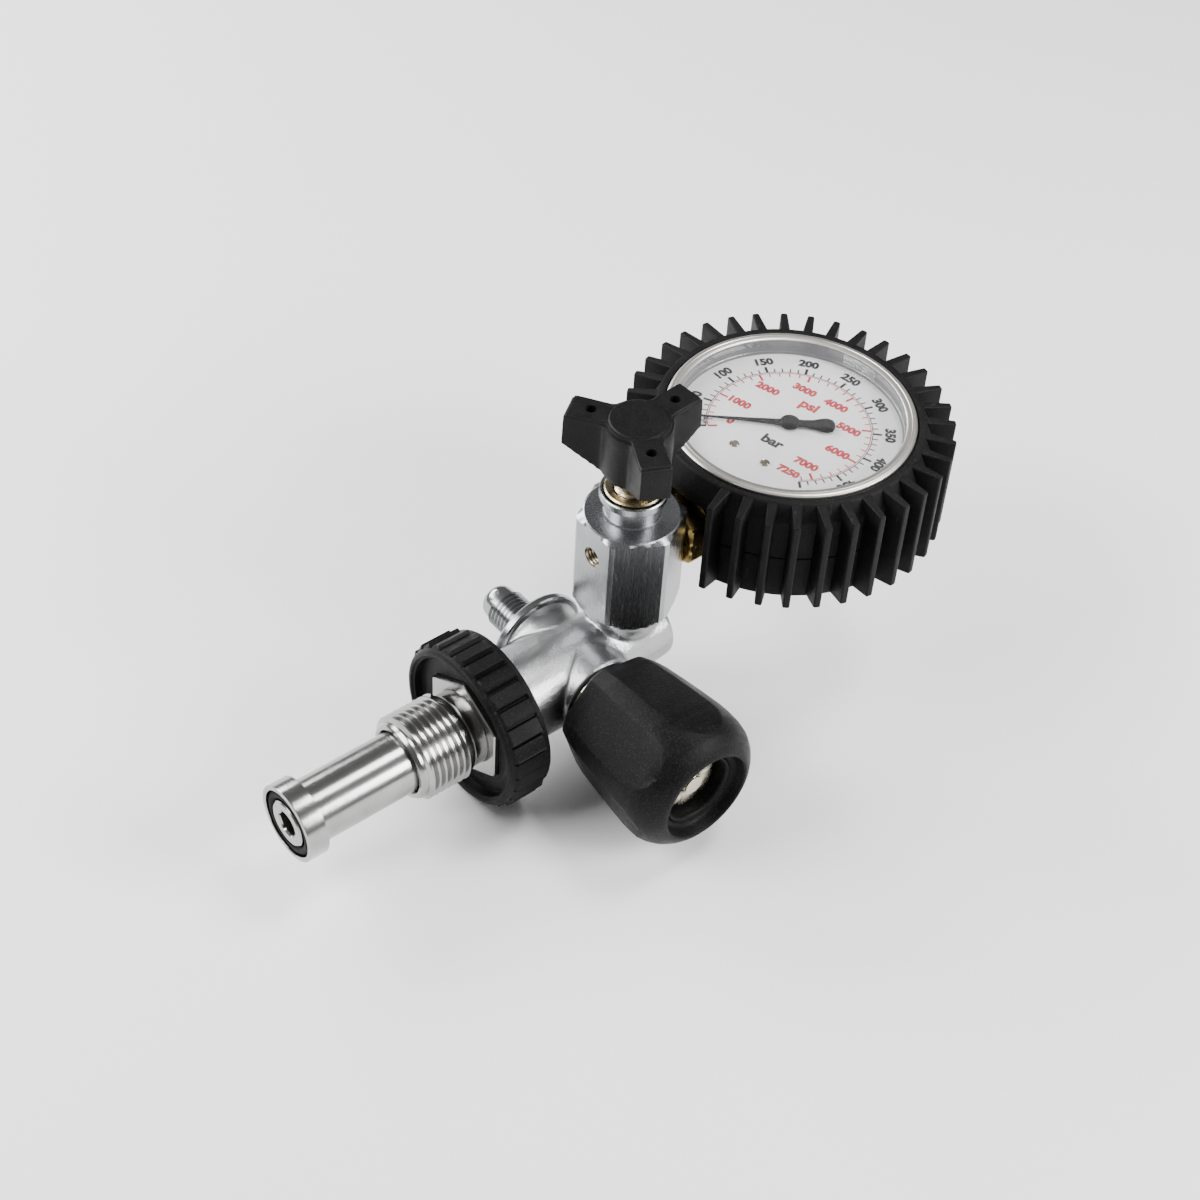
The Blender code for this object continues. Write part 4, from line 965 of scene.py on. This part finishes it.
def makeBezel(p):
    bm = bmesh.new()
    low = spanOf("gauge_bezel", 2)[0]
    top = p["topZ"]
    bezel = p["bezel"]
    groove = p["groove"]
    lip = p["lipInner"]
    inner = p["bezelInner"]
    spin(bm, [
        (bezel - 1.0, low), (bezel, low + 0.2), (bezel, top - 0.9), (bezel - 0.15, top - 0.4),
        (bezel - 0.5, top - 0.1), (bezel - 0.9, top), (groove + 0.12, top),
        (groove, top - 0.12), (groove - 0.12, top - 0.05), (lip + 0.35, top - 0.12),
        (lip, top - 0.35), (lip + 0.05, top - 0.65), (inner, top - 0.7), (inner, p["seat"]),
        (bezel - 1.0, p["seat"]),
    ], 180, close=True)
    makePiece("bezel", bm, atGauge, body, bezelPlating, ["gauge_bezel"], sharp=30)


def makeSpacer(p):
    # grey ring between the dial and the window
    bm = bmesh.new()
    lip = p["lipInner"] + 0.05
    wall = p["bezelInner"] - 0.1
    shelf = p["topZ"] - 0.8
    floor = p["dialTop"] + 0.02
    spin(bm, [
        (wall, shelf), (lip, shelf), (lip, p["spacerStep"]), (p["spacerLow"] + 0.15, floor + 0.28),
        (p["spacerLow"], floor + 0.03), (p["spacerLow"] + 0.5, floor), (p["groove"], floor),
        (p["groove"], p["seat"] + 0.1), (wall, p["seat"] + 0.1),
    ], 180, close=True)
    makePiece("spacer_ring", bm, atGauge, body, spacerGrey)


def makeWindow(p):
    bm = bmesh.new()
    low, high = spanOf("gauge_window", 2)
    edge = p["lipInner"]
    spin(bm, [(0, high), (edge, high), (edge, low), (0, low)], 120)
    makePiece("window_pane", bm, atGauge, body, glass, ["gauge_window"], sharp=30)
    repaint("gauge_case", bezelPlating)
    repaint("gauge_dial", dialPaint)


# radii and heights of the print; a tick's size is its length and its width
scale = {
    "zero": 144.0, "sweep": 270.0, "maxBar": 500, "barPsi": 14.5, "maxPsi": 7250,
    "printZ": 45.63, "textZ": 45.65, "thick": 0.04, "bold": 0.2, "textTurn": -75.0,
    "barArc": 21.2, "psiArc": 20.75, "arcWidth": 0.22,
    "barMain": (2.3, 0.7), "barMinor": (1.4, 0.34), "psiMain": (2.4, 0.6), "psiMinor": (1.4, 0.32),
    "barFigures": 25.5, "barSize": 3.5, "psiFigures": 15.0, "psiSize": 3.25,
    "lastFigure": 17.6, "lastSize": 3.0,
    "psiWord": 9.6, "psiWordSize": 4.6, "barWord": -8.0, "barWordSize": 4.4,
}


def dialPoint(p, bar, radius):
    # the gauge's top, twelve o'clock, points along +X; the scale runs clockwise from above
    angle = math.radians(p["zero"] - p["sweep"] * bar / p["maxBar"])
    return Vector((radius * math.cos(angle), radius * math.sin(angle), 0)), angle


def tick(bm, p, bar, inner, outer, width):
    spot, angle = dialPoint(p, bar, (inner + outer) / 2)
    size = Matrix.Diagonal(((outer - inner) * mm, width * mm, p["thick"] * mm, 1))
    place = Matrix.Translation(spot * mm) @ Matrix.Rotation(angle, 4, 'Z') @ size
    bmesh.ops.create_cube(bm, size=1, matrix=place)


def printArc(bm, p, radius):
    steps = 90
    pairs = []
    for i in range(steps + 1):
        spot = dialPoint(p, p["maxBar"] * i / steps, radius)[0]
        out = spot.normalized() * p["arcWidth"] / 2
        pairs.append((bm.verts.new((spot - out) * mm), bm.verts.new((spot + out) * mm)))
    for (a, b), (c, d) in zip(pairs, pairs[1:]):
        bm.faces.new((a, c, d, b))


def makeScales(p):
    # bar ticks stand outside their arc, psi ticks inside theirs
    lift = Matrix.Translation((gaugeX * mm, 0, p["printZ"] * mm))
    arc = p["barArc"]
    black = bmesh.new()
    printArc(black, p, arc)
    for bar in range(0, p["maxBar"] + 1, 10):
        length, width = p["barMain"] if bar % 50 == 0 else p["barMinor"]
        tick(black, p, bar, arc, arc + length, width)
    makePiece("bar_scale", black, lift, body, blackInk)
    arc = p["psiArc"]
    red = bmesh.new()
    printArc(red, p, arc)
    for psi in range(0, p["maxPsi"] + 1, 200):
        length, width = p["psiMain"] if psi % 1000 == 0 else p["psiMinor"]
        tick(red, p, psi / p["barPsi"], arc - length, arc, width)
    makePiece("psi_scale", red, lift, body, redInk)


def printText(name, words, spot, turn, height, ink, p):
    letters = bpy.data.curves.new(name, 'FONT')
    letters.body = words
    letters.size = height * mm
    letters.offset = p["bold"] * mm
    letters.align_x = 'CENTER'
    letters.align_y = 'CENTER'
    letters.resolution_u = 3
    drawn = bpy.data.objects.new(name, letters)
    bpy.context.scene.collection.objects.link(drawn)
    view = bpy.context.evaluated_depsgraph_get()
    mesh = bpy.data.meshes.new_from_object(drawn.evaluated_get(view))
    bpy.data.objects.remove(drawn)
    bm = bmesh.new()
    bm.from_mesh(mesh)
    bpy.data.meshes.remove(mesh)
    place = Matrix.Translation((gaugeX * mm + spot.x * mm, spot.y * mm, p["textZ"] * mm))
    makePiece(name, bm, place @ Matrix.Rotation(turn, 4, 'Z'), body, ink)


def makeLabels(p):
    # black figures follow the scale round, red ones all stand level
    level = math.radians(p["textTurn"])
    for bar in range(50, p["maxBar"] + 1, 50):
        spot, angle = dialPoint(p, bar, p["barFigures"])
        printText(f"bar_{bar}", str(bar), spot, angle - math.pi / 2, p["barSize"], blackInk, p)
    for psi in range(0, 7001, 1000):
        # the nought stands a little past its own tick
        spot, angle = dialPoint(p, max(psi, 180) / p["barPsi"], p["psiFigures"])
        printText(f"psi_{psi}", str(psi), spot, level, p["psiSize"], redInk, p)
    spot, angle = dialPoint(p, p["maxBar"] + 14, p["lastFigure"])
    printText("psi_7250", "7250", spot, level, p["lastSize"], redInk, p)
    up = Vector((-math.sin(level), math.cos(level), 0))
    printText("psi_word", "psi", up * p["psiWord"], level, p["psiWordSize"], redInk, p)
    printText("bar_word", "bar", up * p["barWord"], level, p["barWordSize"], blackInk, p)


pointer = {
    "length": 23.5, "tail": 11.5, "low": 46.3, "thick": 0.5, "zero": 137.0, "edge": 0.08,
    "hub": 2.5, "hubLow": 46.2, "hubTop": 47.4, "shaft": 0.7, "shaftLow": 40.7,
}


def makePointer(p):
    bm = bmesh.new()
    outline = [
        (p["length"], 0.12), (12, 0.5), (3.0, 0.95), (1.2, 1.3), (-3.5, 1.25), (-6.0, 1.5), (-8.0, 2.3),
        (-9.6, 2.6), (-11.0, 2.0), (-p["tail"], 0.8),
    ]
    mirrored = [(x, -y) for x, y in reversed(outline)]
    floor = bm.faces.new([bm.verts.new((x * mm, y * mm, p["low"] * mm)) for x, y in outline + mirrored])
    raised = bmesh.ops.extrude_face_region(bm, geom=[floor])
    lifted = [v for v in raised["geom"] if isinstance(v, bmesh.types.BMVert)]
    bmesh.ops.translate(bm, verts=lifted, vec=(0, 0, p["thick"] * mm))
    top = p["hubTop"]
    low = p["hubLow"]
    spin(bm, [(0, top), (p["hub"] - 0.4, top), (p["hub"], top - 0.3), (p["hub"], low), (0, low)], 48)
    shaft = p["shaft"]
    spin(bm, [(0, top + 0.1), (shaft - 0.1, top + 0.05), (shaft + 0.05, top - 0.1),
              (shaft, p["shaftLow"]), (0, p["shaftLow"])], 24)
    place = atGauge @ Matrix.Rotation(math.radians(p["zero"]), 4, 'Z')
    makePiece("needle", bm, place, "pointer", leverBlack, ["gauge_pointer"], bevel=p["edge"])


dialScrew = {"count": 2, "radius": 1.3, "foot": 45.62, "slotHalf": 0.22, "slotDepth": 0.14}


def makeDialScrews(p):
    radius = p["radius"]
    for number in range(1, p["count"] + 1):
        node = f"dial_screw_{number}"
        centre = middleOf(node)
        high = spanOf(node, 2)[1]
        bm = bmesh.new()
        spin(bm, [(0, high - 0.05), (radius - 0.6, high - 0.08), (radius - 0.15, high - 0.2),
                  (radius, high - 0.4), (radius, p["foot"]), (0, p["foot"])], 40)
        for v in bm.verts:
            inSlot = abs(v.co.x / mm) < p["slotHalf"]
            if inSlot and v.co.z / mm > high - 0.25:
                v.co.z -= p["slotDepth"] * mm
        place = Matrix.Translation((centre.x, centre.y, 0))
        makePiece(f"dial_screw_head_{number}", bm, place, body, screwNickel, [node], sharp=25)


makeBezel(gauge)
makeSpacer(gauge)
makeWindow(gauge)
makeScales(scale)
makeLabels(scale)
makePointer(pointer)
for works in ("pinion", "sector_gear", "movement_plate", "bourdon_tube"):
    repaint(works, brassZ)
repaint("stop_pin", platingZ)
makeDialScrews(dialScrew)
print("gauge done")


# gauge nut, socket and boot

gaugeNut = {"flat": 8.83, "corner": 9.9, "face": 8.6, "bore": 5.9}


def makeGaugeNut(p):
    low, high = spanOf("gauge_nut", 0)
    corner = p["corner"]
    bm = bmesh.new()
    spin(bm, [
        (p["bore"], high), (p["face"], high), (corner - 0.2, high - 0.6), (corner, high - 0.9),
        (corner, low + 0.9), (corner - 0.2, low + 0.6), (p["face"], low), (p["bore"], low),
    ], 144, close=True)
    for v in bm.verts:
        radius = math.hypot(v.co.x, v.co.y) / mm
        if radius > p["face"] - 0.1:
            setRadius(v, min(radius, hexRadius(math.atan2(v.co.y, v.co.x), p["flat"], math.radians(30))))
    makePiece("brass_nut", bm, alongGaugeX, body, brassX, ["gauge_nut"], sharp=25)
    repaint("gauge_socket", brassX)


boot = {
    "wall": 36.3, "inner": 32.25, "fin": 42.0, "fins": 36, "rootThick": 2.7, "tipThick": 1.8,
    "windowHalf": 11.0, "shoulder": 34.2, "finDrop": 0.9, "round": 0.45, "lean": 0.25,
    "seamDrop": 1.5, "floorHole": 25.2, "floorTop": 21.7,
    "windowDeep": 16, "windowTall": 30, "windowAt": 36, "windowSide": 15,
}


def makeBootWall(p):
    low, high = spanOf("gauge_boot", 2)
    seam = (low + high) / 2 - p["seamDrop"]
    bm = bmesh.new()
    wall = p["wall"]
    shoulder = p["shoulder"]
    spin(bm, [
        (p["floorHole"], low), (wall - 1.1, low), (wall - 0.3, low + 0.3), (wall, low + 1.0),
        (wall, seam - 0.35), (wall - 0.25, seam - 0.1), (wall - 0.25, seam + 0.1), (wall, seam + 0.35),
        (wall, high - 5.0), (wall - 0.15, high - 4.3), (wall - 0.6, high - 3.2),
        (shoulder + 0.5, high - 1.0), (shoulder + 0.15, high - 0.35), (shoulder - 0.3, high),
        (p["inner"] + 0.65, high), (p["inner"] + 0.2, high - 0.15), (p["inner"], high - 0.6),
        (p["inner"], p["floorTop"]), (p["floorHole"], p["floorTop"]),
    ], 216, close=True)
    piece = makePiece("boot_wall", bm, atGauge, body, bootRubber, ["gauge_boot"], sharp=40)
    # the opening round the gauge's connection goes right through the wall
    opening = bmesh.new()
    deep, tall = p["windowDeep"], p["windowTall"]
    size = Matrix.Diagonal((deep * mm, 2 * p["windowHalf"] * mm, tall * mm, 1))
    middle = Vector((gaugeX - p["windowAt"], 0, gaugeZ + p["windowHalf"] - tall / 2))
    bmesh.ops.create_cube(opening, size=1, matrix=Matrix.Translation(middle * mm) @ size)
    cutAway(piece, opening, "boot_window", 40)


def makeFins(p):
    low, high = spanOf("gauge_boot", 2)
    bm = bmesh.new()
    for number in range(p["fins"]):
        angle = 360 / p["fins"] * number
        if abs(angle - 180) < p["windowSide"]:
            continue
        shape = bmesh.new()
        bmesh.ops.create_cube(shape, size=1)
        lean = p["lean"] * math.sin(number * 2.4)
        for v in shape.verts:
            outer = v.co.x > 0
            thick = p["tipThick"] if outer else p["rootThick"]
            x = p["fin"] if outer else p["shoulder"] - 0.2
            if v.co.z > 0:
                z = high - (p["finDrop"] if outer else 0.15)
            else:
                z = low + (1.6 if outer else 0.05)
            v.co = Vector((x, math.copysign(thick / 2, v.co.y) + (lean if outer else 0), z)) * mm
        bmesh.ops.bevel(shape, geom=shape.edges[:], offset=p["round"] * mm, segments=3, affect='EDGES',
                        profile=0.5, material=-1, offset_type='OFFSET')
        bmesh.ops.rotate(shape, verts=shape.verts, cent=(0, 0, 0),
                         matrix=Matrix.Rotation(math.radians(angle), 3, 'Z'))
        joinInto(bm, shape)
    makePiece("boot_fins", bm, atGauge, body, bootRubber, ["gauge_boot"], sharp=50)


makeGaugeNut(gaugeNut)
makeBootWall(boot)
makeFins(boot)
repaint("blowout_plug", bootRubber)
print("boot done")


# floor, lights, camera

studio = {
    "floor": 0.92, "world": 0.24, "azimuth": -41.8, "elevation": 44.94, "roll": 3.84,
    "aim": (98.3, 4.8, 12.4), "distance": 567.5, "lens": 67.3,
    # each light: azimuth, elevation, distance and size in metres, power in watts
    "lights": {
        "key": (31, 29, 0.8, (0.34, 0.3), 9),
        "left window": (-115, 38, 0.9, (0.5, 0.5), 11),
        "far left": (-170, 30, 1.0, (0.8, 0.3), 12),
        "dial light": (75, 66, 1.0, (0.3, 0.3), 6),
    },
}


def backwards(azimuth, elevation):
    a, e = math.radians(azimuth), math.radians(elevation)
    return Vector((math.sin(a) * math.cos(e), -math.cos(a) * math.cos(e), math.sin(e)))


def makeFloor(p):
    bm = bmesh.new()
    bmesh.ops.create_grid(bm, x_segments=2, y_segments=2, size=4.0)
    finish = Finish("floor")
    tone = finish.grain(300.0, 2.0, 0.5)
    finish.set(Base_Color=finish.mix(tone, grey(p["floor"]), grey(p["floor"] + 0.02)), Roughness=0.6)
    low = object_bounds()[0]
    bmesh.ops.translate(bm, verts=bm.verts, vec=(0, 0, low[2] - 0.1 * mm))
    mesh = bpy.data.meshes.new("floor")
    bm.to_mesh(mesh)
    bm.free()
    mesh.materials.append(finish.material)
    floor = bpy.data.objects.new("floor", mesh)
    bpy.context.scene.collection.objects.link(floor)
    floor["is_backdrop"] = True


def makeLights(p):
    for name, (azimuth, elevation, distance, size, power) in p["lights"].items():
        lamp = bpy.data.lights.new(name, 'AREA')
        lamp.shape = 'RECTANGLE'
        lamp.size, lamp.size_y = size
        lamp.energy = power
        holder = bpy.data.objects.new(name, lamp)
        back = backwards(azimuth, elevation)
        holder.location = Vector(v * mm for v in p["aim"]) + back * distance
        holder.rotation_euler = (-back).to_track_quat('-Z', 'Y').to_euler()
        bpy.context.scene.collection.objects.link(holder)


def makeCamera(p):
    back = backwards(p["azimuth"], p["elevation"])
    roll = math.radians(p["roll"])
    right = Vector((0, 0, 1)).cross(back).normalized()
    up = back.cross(right)
    right, up = (math.cos(roll) * right + math.sin(roll) * up,
                 math.cos(roll) * up - math.sin(roll) * right)
    turn = Matrix((right, up, back)).transposed()
    lens = bpy.data.cameras.new("camera")
    lens.lens = p["lens"]
    lens.sensor_width = 36
    lens.clip_start = 0.01
    lens.clip_end = 20
    camera = bpy.data.objects.new("camera", lens)
    camera.location = Vector(v * mm for v in p["aim"]) + back * p["distance"] * mm
    camera.rotation_euler = turn.to_euler()
    bpy.context.scene.collection.objects.link(camera)
    bpy.context.scene.camera = camera


def makeWorld(p):
    world = bpy.data.worlds.new("studio")
    world.use_nodes = True
    sockets = world.node_tree.nodes["Background"].inputs
    sockets["Color"].default_value = (1, 1, 1, 1)
    sockets["Strength"].default_value = p["world"]
    bpy.context.scene.world = world


makeFloor(studio)
makeLights(studio)
makeWorld(studio)
makeCamera(studio)
print("studio set")
